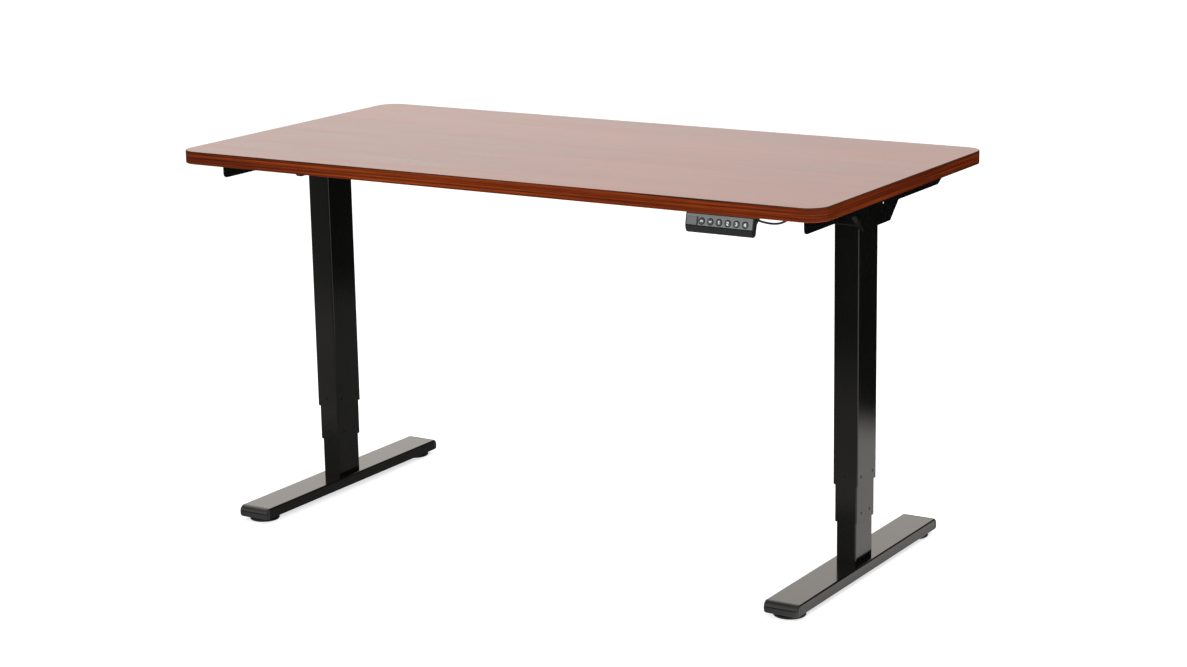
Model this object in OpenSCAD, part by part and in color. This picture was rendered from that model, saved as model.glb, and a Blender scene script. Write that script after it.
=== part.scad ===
// Height adjustable standing desk: a wooden top on two motor driven, three stage columns.
// X runs along the desk, Y from front to back and Z up.
// The origin is on the floor, below the middle of the top.

/* [Desktop] */
// Length of the top, left to right
top_l = 1400; // [1160:10:1800]
// Depth of the top, front to back
top_w = 700; // [640:10:900]
// Thickness of the top, edge band included
top_t = 25; // [22:1:36]
// Radius of the top's corners
top_corner_r = 40; // [20:5:80]
// Thickness of the band glued round the edge
band_t = 2; // [1:0.5:4]
// Height of the working surface above the floor
top_z = 760; // [640:5:1200]

/* [Underframe] */
// Distance from each end of the top to the side bracket's outer face
side_overhang = 60; // [40:5:120]
// Length of the side brackets, front to back
bracket_l = 572; // [400:4:620]
// Thickness of the side brackets' steel
bracket_t = 2.5; // [2:0.5:4]
// Height of the side bracket's web
bracket_h = 35; // [32:1:50]
// Width of the side bracket's top flange
bracket_flange = 35; // [28:1:36]
// Width of the square centre rails
rail_w = 30; // [28:1:32]
// Wall of the rails
rail_wall = 1.5; // [1.5:0.5:2.5]
// Length of each centre rail
rail_l = 800; // [500:10:820]
// How far each rail end slides into the centre rail
rail_overlap = 102.5; // [60:0.5:160]

/* [Columns] */
// Width of the outer tube, along the desk
outer_x = 50; // [48:1:60]
// Depth of the outer tube, front to back
outer_y = 80; // [74:1:90]
// How much narrower each stage is than the one around it
stage_step = 5; // [5:0.5:6]
// Wall of the three tubes
tube_wall = 1.5; // [1.2:0.1:1.8]
// Radius of the tubes' corners
tube_r = 3; // [2:0.5:5]
// Length of the outer tube
outer_l = 490; // [420:5:560]
// Length of the middle tube
mid_l = 485; // [415:5:555]
// Length of the inner tube
inner_l = 475; // [405:5:545]
// Height of the guide liners
liner_h = 60; // [40:5:80]
// Distance from the column's centre line to the bracket's outer face
column_inset = 42; // [36:1:60]

/* [Lift drive] */
// Diameter of the upper lead screw
upper_screw_d = 12; // [10:0.5:13]
// Length of the upper lead screw
upper_screw_l = 430; // [400:5:450]
// Diameter of the lower, hollow lead screw
lower_screw_d = 20; // [18:0.5:22]
// Length of the lower lead screw
lower_screw_l = 400; // [350:5:420]
// Diameter of the motors
motor_d = 44; // [36:1:48]
// Length of the motors
motor_l = 118; // [90:1:130]

/* [Feet] */
// Length of each foot with its end caps
foot_l = 600; // [520:2:680]
// Width of the foot beams
foot_w = 70; // [64:1:90]
// Height of the foot beams
foot_h = 22; // [20:1:40]
// Wall of the foot beams
foot_wall = 2; // [1.5:0.5:3]
// Length of the visible part of each end cap
cap_l = 14; // [8:1:16]
// Diameter of the levelling glides
glide_d = 60; // [50:1:64]
// Height of the glides' pads
glide_h = 9; // [7:0.5:14]
// Diameter of the glides' threaded studs
stud_d = 8; // [6:1:10]
// Distance from the end of a foot to its glide's centre
glide_inset = 39; // [31:1:60]

/* [Handset] */
// Width of the handset, along the desk
handset_w = 133; // [130:1:160]
// Distance from the right end of the top to the handset's middle
handset_inset = 193.5; // [180:0.5:300]
// Wall of the handset's mouldings
handset_wall = 2; // [1.5:0.5:2.5]
// Diameter of the buttons
button_d = 9.6; // [8:0.2:10]
// Distance from one button to the next
button_pitch = 17; // [16:0.5:17]

/* [Control box] */
// Length of the control box, along the desk
box_l = 280; // [240:5:320]
// Width of the control box
box_w = 82; // [80:1:84]
// Height of the control box, lid included
box_h = 41; // [38:1:50]
// Wall of the control box
box_wall = 2.5; // [2:0.5:3]

/* [Hidden] */
$fn = 64;

// Gaps between pieces
gap = 0.3;           // between pieces that move past each other
run_gap = 0.05;      // round a turning or sliding shaft, on the radius
slip_gap = 0.2;      // between pieces pushed into each other

// Heights
foot_top = glide_h + foot_h;
frame_top = top_z - top_t;
head_drop = 64;      // from the underside of the top to the outer tube's end
outer_top = frame_top - head_drop;
outer_bottom = outer_top - outer_l;
low_outer = 10;      // outer tube's end above the foot with the desk right down
low_mid = 8;         // middle tube's end above the foot with the desk right down
raised = outer_bottom - foot_top - low_outer;
mid_bottom = foot_top + low_mid + raised / 2;
mid_top = mid_bottom + mid_l;
inner_top = foot_top + inner_l;

// Places along X
bracket_x = top_l / 2 - side_overhang;
column_x = bracket_x - column_inset;
web_in_x = bracket_x - bracket_t;

// Tube sections, each [X, Y]
outer_size = [outer_x, outer_y];
mid_size = [outer_x - stage_step, outer_y - stage_step];
inner_size = [mid_size[0] - stage_step, mid_size[1] - stage_step];
liner_t = stage_step / 2 - tube_wall - gap;
peg_d = 5;
peg_up = 16.5;       // from a tube's lower end to its liner's pegs
outer_peg_y = 24;    // from the middle of the outer tube's side to each peg
mid_peg_y = 17;      // the same on the middle tube

// Column head
head_base_t = 4;
head_wall_t = 3;
head_x = outer_x + 8;
head_y = outer_y + 10;
head_hole_d = upper_screw_d + 2.6;
gearbox_x = outer_x;
gearbox_y = outer_y - 4;
gearbox_h = 50;
gearbox_r = 6;
gearbox_boss_d = 34;
gearbox_boss_h = 4;
drive_up = 27;       // from the head's base up to the motor's axis
drive_z = outer_top + head_base_t + drive_up;
motor_neck_d = motor_d - 10;
motor_neck_l = 10;
collar_d = 2 * upper_screw_d;
collar_h = 7.4;
socket_h = 20;       // depth of the gearbox's output socket

// Rails
rail_end_w = rail_w - 2 * rail_wall - 2 * slip_gap;
rail_y = head_y / 2 + rail_end_w / 2;
rail_z = frame_top - bracket_t - rail_w / 2;
rail_end_l = web_in_x - rail_l / 2 + rail_overlap;
plug_l = 14;         // solid end of each rail end
clamp_x = rail_l / 2 - 20;
bolt_d = 6;
bolt_head_d = 11;
bolt_head_h = 4;
head_bolt_x = 18;    // from the column's centre line to the bolts in its head
head_bolt_l = 12;
clamp_bolt_l = 10;

// Side bracket
drop_h = 33;         // how far the web drops at the column
drop_half = head_y / 2 + 10;
drop_run = 35;       // how far the drop's slanted ends run
lip_w = 8;           // folded edge round the drop
web_hole_d = 7;
web_hole_y = 27;
web_hole_up = 4;     // above the web's lower edge
bracket_screw_ys = [-bracket_l / 2 + 26, -130, 130, bracket_l / 2 - 26];
bracket_screw_x = bracket_x - bracket_flange / 2;

// Wood screws
screw_d = 3.5;
screw_head_d = 8;
screw_head_h = 2.4;
screw_bite = 15;     // how far a screw goes into the top

// Drive inside the columns
nut_h = 10;
cup_wall = 3.5;
lower_collar_d = lower_screw_d + 8;
lower_collar_h = 6;
cup_d = lower_collar_d + 2 * gap + 2 * cup_wall;
cup_h = lower_collar_h + 2 * gap + 3;
screw_bore_d = upper_screw_d + 1;
base_nut_h = 14;
base_nut_down = 6;    // from the inner tube's end down to the nut
upper_screw_top = outer_top + head_base_t + socket_h - gap;
lower_screw_top = mid_top - nut_h - gap;

// Feet
beam_l = foot_l - 2 * cap_l;
beam_r = 3;
cap_r = 7;
// An end cap's nose in the YZ plane, as fractions of its length and height
cap_nose = [
    [0, 0], [0.55, 0], [0.8, 0.06], [0.93, 0.22], [1, 0.5], [0.94, 0.7], [0.75, 0.87], [0.45, 0.97],
    [0.2, 1], [0, 1]
];
block_h = 20;
foot_bolt_d = 8;
foot_bolt_head_d = 13;
foot_bolt_head_h = 5;
foot_bolt_l = 16;    // how far a foot bolt goes into the block
foot_bolt_spots = [for (x = [-11, 11], y = [-19, 19]) [x, y]];
access_d = 18;
insert_d = stud_d + 5;
insert_h = 14;
insert_flange_d = insert_d + 6;
cap_plug_l = glide_inset - cap_l - insert_flange_d / 2 - 1;
glide_y = foot_l / 2 - glide_inset;

// Handset: its outline is in the YZ plane, pulled in by t
handset_x = top_l / 2 - handset_inset;
handset_y = -top_w / 2 + 0.5;
face_h = 23;
face_run = 5.5;      // how far the face leans forwards from top to bottom
face_lean = atan(face_run / face_h);
function handset_outline(t) = [
    [handset_y + face_run * (1 - t / face_h) + t / cos(face_lean), frame_top - t],
    [handset_y + t / cos(face_lean), frame_top - face_h],
    [handset_y + 3 + 1.1 * t, frame_top - 34.5 + 0.7 * t],
    [handset_y + 8.5 - 0.3 * t, frame_top - 37 + 1.2 * t],
    [handset_y + 15 - t, frame_top - 14 + 0.4 * t],
    [handset_y + 34 - 2.2 * t, frame_top - t]
];
chin_z = frame_top - face_h;
chin_depth = 13;
cover_top_z = frame_top - 2;
wing_w = 9;
wing_t = 3;
wing_front_y = handset_y + 17;
wing_depth = 26;
wing_hole_y = wing_front_y + wing_depth / 2;
button_z = frame_top - 14;
button_out = 0.9;
button_flange_d = button_d + 2.8;
button_flange_h = 1;
first_button_x = handset_x - 34.5;
button_xs = [for (i = [0:5]) first_button_x + i * button_pitch];
window_w = 22;
window_h = 14;
window_x = handset_x - 52.5;
board_in = 7;
board_t = 1.6;
switch_w = 6;
switch_h = 2.6;
boss_d = 3;
boss_xs = [first_button_x + button_pitch / 2, first_button_x + 5.6 * button_pitch];
handset_exit = [560, -320, 727];

// Control box
lid_t = 3;
ear_w = 16;
ear_y = 30;
tray_h = box_h - lid_t;
tray_bottom = frame_top - box_h;
box_board_up = 8;
pillar_d = 6;
transformer = [48, 44, 22];
capacitor_d = 18;
capacitor_h = 20;
inlet_size = [22, 27, 20];
inlet_wall = 2;
inlet_y = 18;
inlet_z = tray_bottom + 20;
pin_size = [8, 2, 4];
cable_hole_gap = 0.4;
box_cable_y = -20;
box_cable_z = tray_bottom + 14;

// Cords, each route a list of points that it passes through
handset_cable_d = 4;
motor_cable_d = 6;
cord_side = [1, 1, 0.7];
clip_cable_z = frame_top - 4.5;
handset_route = [
    [560, -330, 727], [560, -321, 726.6], [564, -312, 723.4], [573, -306, 720], [585, -303, 718.4],
    [598, -301, 719.6], [607, -297, 723], [611, -291, 726.8], [608, -284, 729.4],
    [600, -278, 730.4], [594, -275, 730.5], [592, -271, 730.5], [592, -256, 730.5],
    [592, -240, 730.5], [586, -214, 730.5], [570, -196, 730.5],
    [540, -190, 730.5], [500, -190, 730.5], [460, -190, 730.5], [400, -190, 730.5],
    [360, -190, 730.5], [320, -190, 730.5], [280, -180, 730], [252, -154, 729],
    [236, -124, 724], [226, -100, 712], [220, -82, 700], [214, -62, 695], [206, -42, 695],
    [194, -28, 700], [176, -21, 706], [158, -20, 708], [138, -20, 708]
];
right_motor_route = [
    [458, 0, 702], [430, 0, 702], [408, 0, 705], [384, 0, 716], [362, 0, 726], [338, 0, 730.5],
    [318, 0, 730.5], [296, 0, 730.5], [270, 0, 727], [240, 0, 718], [206, 0, 711],
    [172, 0, 708], [138, 0, 708]
];
left_motor_route = [
    [-458, 0, 702], [-430, 0, 702], [-408, 0, 705], [-384, 0, 716], [-362, 0, 726],
    [-338, 0, 730.5], [-318, 0, 730.5], [-296, -2, 730.5], [-270, -8, 727], [-240, -15, 718],
    [-206, -19, 711], [-172, -20, 708], [-138, -20, 708]
];
clip_spots = [
    [592, -264, 90, handset_cable_d], [500, -190, 0, handset_cable_d],
    [360, -190, 0, handset_cable_d], [318, 0, 0, motor_cable_d], [-318, 0, 0, motor_cable_d]
];
clip_w = 8;
clip_l = 20;
clip_h = 9;
clip_screw = 9;      // from the cable to the clip's screw
clip_shift = 3;      // from the cable to the clip's middle

// A place under the top for each wood screw: [x, y, thickness of what it holds]
screw_spots = concat(
    [for (x = [-bracket_screw_x, bracket_screw_x], y = bracket_screw_ys) [x, y, bracket_t]],
    [for (s = [-1, 1]) [handset_x + s * (handset_w / 2 + wing_w / 2), wing_hole_y, wing_t]],
    [for (x = [-1, 1], y = [-1, 1]) [x * (box_l / 2 + ear_w / 2), y * ear_y, lid_t]],
    [for (c = clip_spots) [
        c[0] - clip_screw * sin(c[2]), c[1] + clip_screw * cos(c[2]), clip_h]]
);

// ---- Shapes that repeat ----

module rounded(size, r) {
    square([size[0] - 2 * r, size[1]], center = true);
    square([size[0], size[1] - 2 * r], center = true);
    for (x = [-1, 1], y = [-1, 1])
        translate([x * (size[0] / 2 - r), y * (size[1] / 2 - r)]) circle(r);
}

module rounded_bar(size, r, z0, z1) {
    translate([0, 0, z0]) linear_extrude(z1 - z0) rounded(size, r);
}

module tube(size, wall, r, z0, z1) {
    difference() {
        rounded_bar(size, r, z0, z1);
        rounded_bar([size[0] - 2 * wall, size[1] - 2 * wall], r - wall, z0 - 1, z1 + 1);
    }
}

module on_side(side) {
    if (side > 0) children();
    else mirror([1, 0, 0]) children();
}

module at_column() {
    translate([column_x, 0, 0]) children();
}

// Sweeps a YZ outline along X from x0
module along_x(x0, length) {
    translate([x0, 0, 0]) rotate([90, 0, 90]) linear_extrude(length) children();
}

// Pegs that hold a liner, through the walls of a tube, or the holes for them.
// On the tube's sides they are peg_y from the middle.
module pegs(size, peg_y, z, d, reach) {
    for (s = [-1, 1]) {
        translate([0, s * (size[1] / 2 - reach), z]) rotate([-s * 90, 0, 0]) cylinder(h = reach, d = d);
        for (y = [-peg_y, peg_y])
            translate([s * (size[0] / 2 - reach), y, z]) rotate([0, s * 90, 0]) cylinder(h = reach, d = d);
    }
}

module pegged_tube(size, peg_y, z0, z1) {
    difference() {
        tube(size, tube_wall, tube_r, z0, z1);
        pegs([size[0] + 2, size[1] + 2], peg_y, z0 + peg_up, peg_d + 0.2, tube_wall + 2);
    }
}

module liner(size, peg_y, z0) {
    inside = [size[0] - 2 * tube_wall, size[1] - 2 * tube_wall];
    tube(inside, liner_t, tube_r - tube_wall, z0 + 2, z0 + 2 + liner_h);
    pegs(size, peg_y, z0 + peg_up, peg_d, tube_wall + liner_t / 2);
}

module bolt(d, length, head_d, head_h) {
    cylinder(h = length, d = d);
    translate([0, 0, -head_h]) cylinder(h = head_h, d = head_d);
}

// A frame for things on the handset's sloping face: +Y goes into the handset
module on_face(x, z) {
    translate([x, handset_y + face_run * (z - chin_z) / face_h, z]) rotate([-face_lean, 0, 0]) children();
}

// A tube with a ring of corners round each point of its route. The ring's first
// corner is square to the route and to cord_side, which no stretch of a route follows.
function unit(v) = v / norm(v);
module cord(route, d) {
    sides = 8;
    n = len(route);
    rings = [for (i = [0:n - 1])
        let (along = unit(route[min(i + 1, n - 1)] - route[max(i - 1, 0)]))
        let (u = unit(cross(along, cord_side)), v = cross(along, u))
        for (k = [0:sides - 1])
            route[i] + d / 2 * (u * cos(360 * k / sides) + v * sin(360 * k / sides))];
    walls = [for (i = [0:n - 2], k = [0:sides - 1])
        let (a = i * sides + k, b = i * sides + (k + 1) % sides)
        [a, a + sides, b + sides, b]];
    start = [for (k = [0:sides - 1]) k];
    finish = [for (k = [sides - 1:-1:0]) (n - 1) * sides + k];
    polyhedron(rings, concat([start], walls, [finish]));
}

// ---- Desktop ----

module desktop_panel() {
    core = [top_l - 2 * band_t, top_w - 2 * band_t];
    color("#8a3b26") difference() {
        rounded_bar(core, top_corner_r - band_t, frame_top, top_z);
        for (s = screw_spots)
            translate([s[0], s[1], frame_top - 1]) cylinder(h = screw_bite + 1.5, d = screw_d + 2 * run_gap);
    }
}

module edge_band() {
    color("#5e2213") tube([top_l, top_w], band_t, top_corner_r, frame_top, top_z);
}

// ---- Underframe ----

module bracket_web() {
    low = frame_top - bracket_h;
    half = bracket_l / 2;
    polygon([
        [-half, frame_top], [-half, low + 10], [-half + 2, low + 4], [-half + 8, low],
        [-drop_half - drop_run, low], [-drop_half, low - drop_h],
        [drop_half, low - drop_h], [drop_half + drop_run, low],
        [half - 22, low], [half, low + 12], [half, frame_top]
    ]);
}

module bracket_lip() {
    low = frame_top - bracket_h;
    lip_up = 1.4 * bracket_t;
    difference() {
        polygon([
            [-drop_half - drop_run, low], [-drop_half, low - drop_h],
            [drop_half, low - drop_h], [drop_half + drop_run, low]
        ]);
        polygon([
            [-drop_half - drop_run + lip_up, low + 1], [-drop_half + 1, low - drop_h + bracket_t],
            [drop_half - 1, low - drop_h + bracket_t], [drop_half + drop_run - lip_up, low + 1]
        ]);
    }
}

module side_bracket(side) {
    color("#1b1a1a") on_side(side) difference() {
        union() {
            along_x(web_in_x, bracket_t) bracket_web();
            along_x(web_in_x - lip_w, lip_w) bracket_lip();
            translate([bracket_x - bracket_flange, -bracket_l / 2, frame_top - bracket_t])
                cube([bracket_flange, bracket_l, bracket_t]);
        }
        for (y = bracket_screw_ys)
            translate([bracket_screw_x, y, frame_top - bracket_t - 1])
                cylinder(h = bracket_t + 2, d = screw_d + 0.8);
        for (y = [-rail_y, rail_y])
            translate([web_in_x - 1, y, rail_z]) rotate([0, 90, 0])
                cylinder(h = bracket_t + 2, d = bolt_d + 0.6);
        for (y = [-web_hole_y, web_hole_y])
            translate([web_in_x - 1, y, frame_top - bracket_h + web_hole_up])
                rotate([0, 90, 0]) cylinder(h = bracket_t + 2, d = web_hole_d);
    }
}

module left_side_bracket() { side_bracket(-1); }
module right_side_bracket() { side_bracket(1); }

module centre_rail(y) {
    color("#1b1a1a") translate([-rail_l / 2, y, rail_z]) difference() {
        rotate([0, 90, 0]) tube([rail_w, rail_w], rail_wall, 2, 0, rail_l);
        for (x = [rail_l / 2 - clamp_x, rail_l / 2 + clamp_x])
            translate([x, 0, -rail_w / 2 - 1]) cylinder(h = rail_w / 2, d = bolt_d + 0.6);
    }
}

module front_rail() { centre_rail(-rail_y); }
module rear_rail() { centre_rail(rail_y); }

module rail_end() {
    inside = rail_end_w - 2 * rail_wall;
    difference() {
        translate([web_in_x - rail_end_l, 0, 0]) rotate([0, 90, 0]) union() {
            tube([rail_end_w, rail_end_w], rail_wall, rail_wall + 0.3, 0, rail_end_l);
            rounded_bar([inside, inside], 0.3, rail_end_l - plug_l, rail_end_l);
        }
        translate([web_in_x - plug_l - 1, 0, 0]) rotate([0, 90, 0])
            cylinder(h = plug_l + 2, d = bolt_d + 2 * run_gap);
        for (x = [-head_bolt_x, head_bolt_x])
            translate([column_x + x, 0, 0]) rotate([90, 0, 0]) cylinder(h = rail_w, d = bolt_d + 2 * run_gap);
        translate([clamp_x, 0, -rail_w]) cylinder(h = rail_w, d = bolt_d + 2 * run_gap);
    }
}

module rail_ends() {
    color("#201f1f") for (side = [-1, 1]) on_side(side) {
        translate([0, rail_y, rail_z]) rail_end();
        mirror([0, 1, 0]) translate([0, rail_y, rail_z]) rail_end();
    }
}

// ---- Column heads and drives ----

module column_head(side) {
    color("#1b1a1a") on_side(side) at_column() difference() {
        translate([-head_x / 2, -head_y / 2, outer_top])
            cube([head_x, head_y, frame_top - bracket_t - outer_top]);
        translate([-head_x / 2 - 1, -head_y / 2 + head_wall_t, outer_top + head_base_t])
            cube([head_x + 2, head_y - 2 * head_wall_t, head_drop]);
        translate([0, 0, outer_top - 1]) cylinder(h = head_base_t + 2, d = head_hole_d);
        for (x = [-head_bolt_x, head_bolt_x])
            translate([x, head_y, rail_z]) rotate([90, 0, 0]) cylinder(h = 2 * head_y, d = bolt_d + 0.6);
    }
}

module left_column_head() { column_head(-1); }
module right_column_head() { column_head(1); }

module gearbox(side) {
    base = outer_top + head_base_t;
    color("#8f9193") on_side(side) at_column() difference() {
        union() {
            rounded_bar([gearbox_x, gearbox_y], gearbox_r, base, base + gearbox_h);
            translate([0, 0, base + gearbox_h]) cylinder(h = gearbox_boss_h, d = gearbox_boss_d);
        }
        translate([0, 0, base - 1]) cylinder(h = socket_h + 1, d = upper_screw_d + 2 * run_gap);
        translate([0, 0, base - 1]) cylinder(h = collar_h + 2 * gap + 1, d = collar_d + 2 * gap);
    }
}

module left_gearbox() { gearbox(-1); }
module right_gearbox() { gearbox(1); }

module motor(side) {
    mouth = column_x - gearbox_x / 2;
    color("#2b2b2d") on_side(side) translate([mouth, 0, drive_z]) rotate([0, -90, 0]) difference() {
        union() {
            cylinder(h = motor_l - motor_neck_l, d = motor_d);
            translate([0, 0, motor_l - motor_neck_l]) cylinder(h = motor_neck_l, d = motor_neck_d);
        }
        translate([0, 0, motor_l - 8]) cylinder(h = 9, d = motor_cable_d + 2 * cable_hole_gap);
    }
}

module left_motor() { motor(-1); }
module right_motor() { motor(1); }

module outer_tube(side) {
    color("#1b1a1a") on_side(side) at_column() pegged_tube(outer_size, outer_peg_y, outer_bottom, outer_top);
}

module left_outer_tube() { outer_tube(-1); }
module right_outer_tube() { outer_tube(1); }

module outer_tube_liners() {
    color("#151515") for (side = [-1, 1]) on_side(side) at_column() liner(outer_size, outer_peg_y, outer_bottom);
}

module mid_tube(side) {
    color("#1b1a1a") on_side(side) at_column() pegged_tube(mid_size, mid_peg_y, mid_bottom, mid_top);
}

module left_mid_tube() { mid_tube(-1); }
module right_mid_tube() { mid_tube(1); }

module mid_liner(side) {
    color("#151515") on_side(side) at_column() liner(mid_size, mid_peg_y, mid_bottom);
}

module left_mid_liner() { mid_liner(-1); }
module right_mid_liner() { mid_liner(1); }

module mid_nut(side) {
    inside = [mid_size[0] - 2 * tube_wall, mid_size[1] - 2 * tube_wall];
    under = mid_top - nut_h;
    color("#cfc9b8") on_side(side) at_column() difference() {
        union() {
            rounded_bar(inside, tube_r - tube_wall, under, mid_top);
            translate([0, 0, under - cup_h]) cylinder(h = cup_h, d = cup_d);
        }
        translate([0, 0, under - 1]) cylinder(h = nut_h + 2, d = upper_screw_d + 2 * run_gap);
        translate([0, 0, under - lower_collar_h - 2 * gap])
            cylinder(h = lower_collar_h + 2 * gap, d = lower_collar_d + 2 * gap);
        translate([0, 0, under - cup_h - 1]) cylinder(h = cup_h + 1, d = lower_screw_d + 2 * gap);
    }
}

module left_mid_nut() { mid_nut(-1); }
module right_mid_nut() { mid_nut(1); }

module upper_screw(side) {
    color("#b9bbbd") on_side(side) at_column() {
        translate([0, 0, upper_screw_top - upper_screw_l]) cylinder(h = upper_screw_l, d = upper_screw_d);
        translate([0, 0, outer_top + head_base_t + gap]) cylinder(h = collar_h, d = collar_d);
    }
}

module left_upper_screw() { upper_screw(-1); }
module right_upper_screw() { upper_screw(1); }

module lower_screw(side) {
    color("#b9bbbd") on_side(side) at_column() difference() {
        union() {
            translate([0, 0, lower_screw_top - lower_screw_l]) cylinder(h = lower_screw_l, d = lower_screw_d);
            translate([0, 0, lower_screw_top - lower_collar_h])
                cylinder(h = lower_collar_h, d = lower_collar_d);
        }
        translate([0, 0, lower_screw_top - lower_screw_l - 1])
            cylinder(h = lower_screw_l + 2, d = screw_bore_d);
    }
}

module left_lower_screw() { lower_screw(-1); }
module right_lower_screw() { lower_screw(1); }

module inner_tube(side) {
    color("#1b1a1a") on_side(side) at_column() tube(inner_size, tube_wall, tube_r, foot_top, inner_top);
}

module left_inner_tube() { inner_tube(-1); }
module right_inner_tube() { inner_tube(1); }

// A block that fills the inner tube between two heights
module tube_filler(z0, z1) {
    rounded_bar([inner_size[0] - 2 * tube_wall, inner_size[1] - 2 * tube_wall], tube_r - tube_wall, z0, z1);
}

module base_nuts() {
    color("#cfc9b8") for (side = [-1, 1]) on_side(side) at_column() difference() {
        tube_filler(inner_top - base_nut_down - base_nut_h, inner_top - base_nut_down);
        translate([0, 0, inner_top - base_nut_down - base_nut_h - 1])
            cylinder(h = base_nut_h + 2, d = lower_screw_d + 2 * run_gap);
    }
}

module base_blocks() {
    color("#8f9193") for (side = [-1, 1]) on_side(side) at_column() difference() {
        tube_filler(foot_top, foot_top + block_h);
        for (b = foot_bolt_spots)
            translate([b[0], b[1], foot_top - 1])
                cylinder(h = foot_bolt_l + 2, d = foot_bolt_d + 2 * run_gap);
    }
}

// ---- Feet ----

module foot_beam(side) {
    color("#1b1a1a") on_side(side) at_column() difference() {
        translate([0, beam_l / 2, glide_h + foot_h / 2]) rotate([90, 0, 0])
            tube([foot_w, foot_h], foot_wall, beam_r, 0, beam_l);
        for (b = foot_bolt_spots) translate([b[0], b[1], 0]) {
            translate([0, 0, foot_top - foot_wall - 1]) cylinder(h = foot_wall + 2, d = foot_bolt_d + 0.8);
            translate([0, 0, glide_h - 1]) cylinder(h = foot_wall + 2, d = access_d);
        }
        for (y = [-glide_y, glide_y])
            translate([0, y, glide_h - 1]) cylinder(h = foot_wall + 2, d = insert_d + 2 * run_gap);
    }
}

module left_foot_beam() { foot_beam(-1); }
module right_foot_beam() { foot_beam(1); }

module end_cap() {
    inside = [foot_w - 2 * foot_wall - 2 * slip_gap, foot_h - 2 * foot_wall - 2 * slip_gap];
    intersection() {
        translate([0, foot_l / 2, glide_h + foot_h / 2]) rotate([90, 0, 0]) linear_extrude(cap_l)
            rounded([foot_w, foot_h], beam_r);
        translate([0, foot_l / 2 - foot_w / 2, glide_h - 1]) linear_extrude(foot_h + 2)
            rounded([foot_w, foot_w], cap_r);
        along_x(-foot_w / 2 - 1, foot_w + 2) polygon([
            for (p = cap_nose) [foot_l / 2 - cap_l * (1 - p[0]), glide_h + p[1] * foot_h]
        ]);
    }
    translate([0, foot_l / 2 - cap_l, glide_h + foot_h / 2]) rotate([90, 0, 0])
        linear_extrude(cap_plug_l) rounded(inside, 1);
}

module foot_end_caps() {
    color("#29292b") for (side = [-1, 1]) on_side(side) at_column() {
        end_cap();
        mirror([0, 1, 0]) end_cap();
    }
}

module foot_bolts() {
    color("#a9abad") for (side = [-1, 1], b = foot_bolt_spots) on_side(side) at_column()
        translate([b[0], b[1], foot_top - foot_wall])
            bolt(foot_bolt_d, foot_wall + foot_bolt_l, foot_bolt_head_d, foot_bolt_head_h);
}

module glide_inserts() {
    color("#a9abad") for (side = [-1, 1], y = [-glide_y, glide_y]) on_side(side) at_column()
        translate([0, y, glide_h]) difference() {
            union() {
                cylinder(h = insert_h, d = insert_d);
                translate([0, 0, foot_wall]) cylinder(h = 2, d = insert_flange_d);
            }
            translate([0, 0, -1]) cylinder(h = insert_h + 2, d = stud_d + 2 * run_gap);
        }
}

module glide(side, end) {
    pad_r = glide_d / 2;
    pad_h = glide_h - gap;
    color("#161616") on_side(side) at_column() translate([0, end * glide_y, 0]) {
        rotate_extrude() polygon([
            [0, 0], [pad_r - 1, 0], [pad_r, 1], [pad_r, pad_h - 3], [pad_r - 4, pad_h], [0, pad_h]
        ]);
        cylinder(h = glide_h + insert_h + 2, d = stud_d);
    }
}

module front_left_glide() { glide(-1, -1); }
module rear_left_glide() { glide(-1, 1); }
module front_right_glide() { glide(1, -1); }
module rear_right_glide() { glide(1, 1); }

// ---- Control box ----

module control_box_tray() {
    color("#232325") difference() {
        translate([-box_l / 2, -box_w / 2, tray_bottom]) cube([box_l, box_w, tray_h]);
        translate([-box_l / 2 + box_wall, -box_w / 2 + box_wall, tray_bottom + box_wall])
            cube([box_l - 2 * box_wall, box_w - 2 * box_wall, box_h]);
        translate([-box_l / 2 - 1, inlet_y - inlet_size[1] / 2, inlet_z - inlet_size[2] / 2])
            cube([box_wall + 2, inlet_size[1], inlet_size[2]]);
        translate([-box_l / 2 - 1, box_cable_y, box_cable_z]) rotate([0, 90, 0])
            cylinder(h = box_wall + 2, d = motor_cable_d + 2 * cable_hole_gap);
        translate([box_l / 2 - box_wall - 1, box_cable_y, box_cable_z]) rotate([0, 90, 0])
            cylinder(h = box_wall + 2, d = handset_cable_d + 2 * cable_hole_gap);
        translate([box_l / 2 - box_wall - 1, 0, box_cable_z]) rotate([0, 90, 0])
            cylinder(h = box_wall + 2, d = motor_cable_d + 2 * cable_hole_gap);
    }
}

module control_box_lid() {
    color("#232325") difference() {
        union() {
            translate([-box_l / 2, -box_w / 2, frame_top - lid_t]) cube([box_l, box_w, lid_t]);
            for (x = [-1, 1], y = [-1, 1])
                translate([x * (box_l / 2 + ear_w / 2) - ear_w / 2, y * ear_y - ear_w / 2, frame_top - lid_t])
                    cube([ear_w, ear_w, lid_t]);
        }
        for (x = [-1, 1], y = [-1, 1])
            translate([x * (box_l / 2 + ear_w / 2), y * ear_y, frame_top - lid_t - 1])
                cylinder(h = lid_t + 2, d = screw_d + 0.8);
    }
}

// The board stands on its own pillars and carries a transformer and two capacitors
module control_board() {
    board = [box_l - 60, box_w - 12, board_t];
    board_z = tray_bottom + box_wall + box_board_up;
    pillar = [board[0] / 2 - 6, board[1] / 2 - 6];
    color("#2f6b3a") {
        translate([-board[0] / 2 + 8, -board[1] / 2, board_z]) cube(board);
        for (x = [-1, 1], y = [-1, 1])
            translate([8 + x * pillar[0], y * pillar[1], board_z - box_board_up])
                cylinder(h = box_board_up, d = pillar_d);
        translate([40, -transformer[1] / 2, board_z + board_t]) cube(transformer);
        for (y = [-16, 16])
            translate([0, y, board_z + board_t]) cylinder(h = capacitor_h, d = capacitor_d);
    }
}

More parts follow.
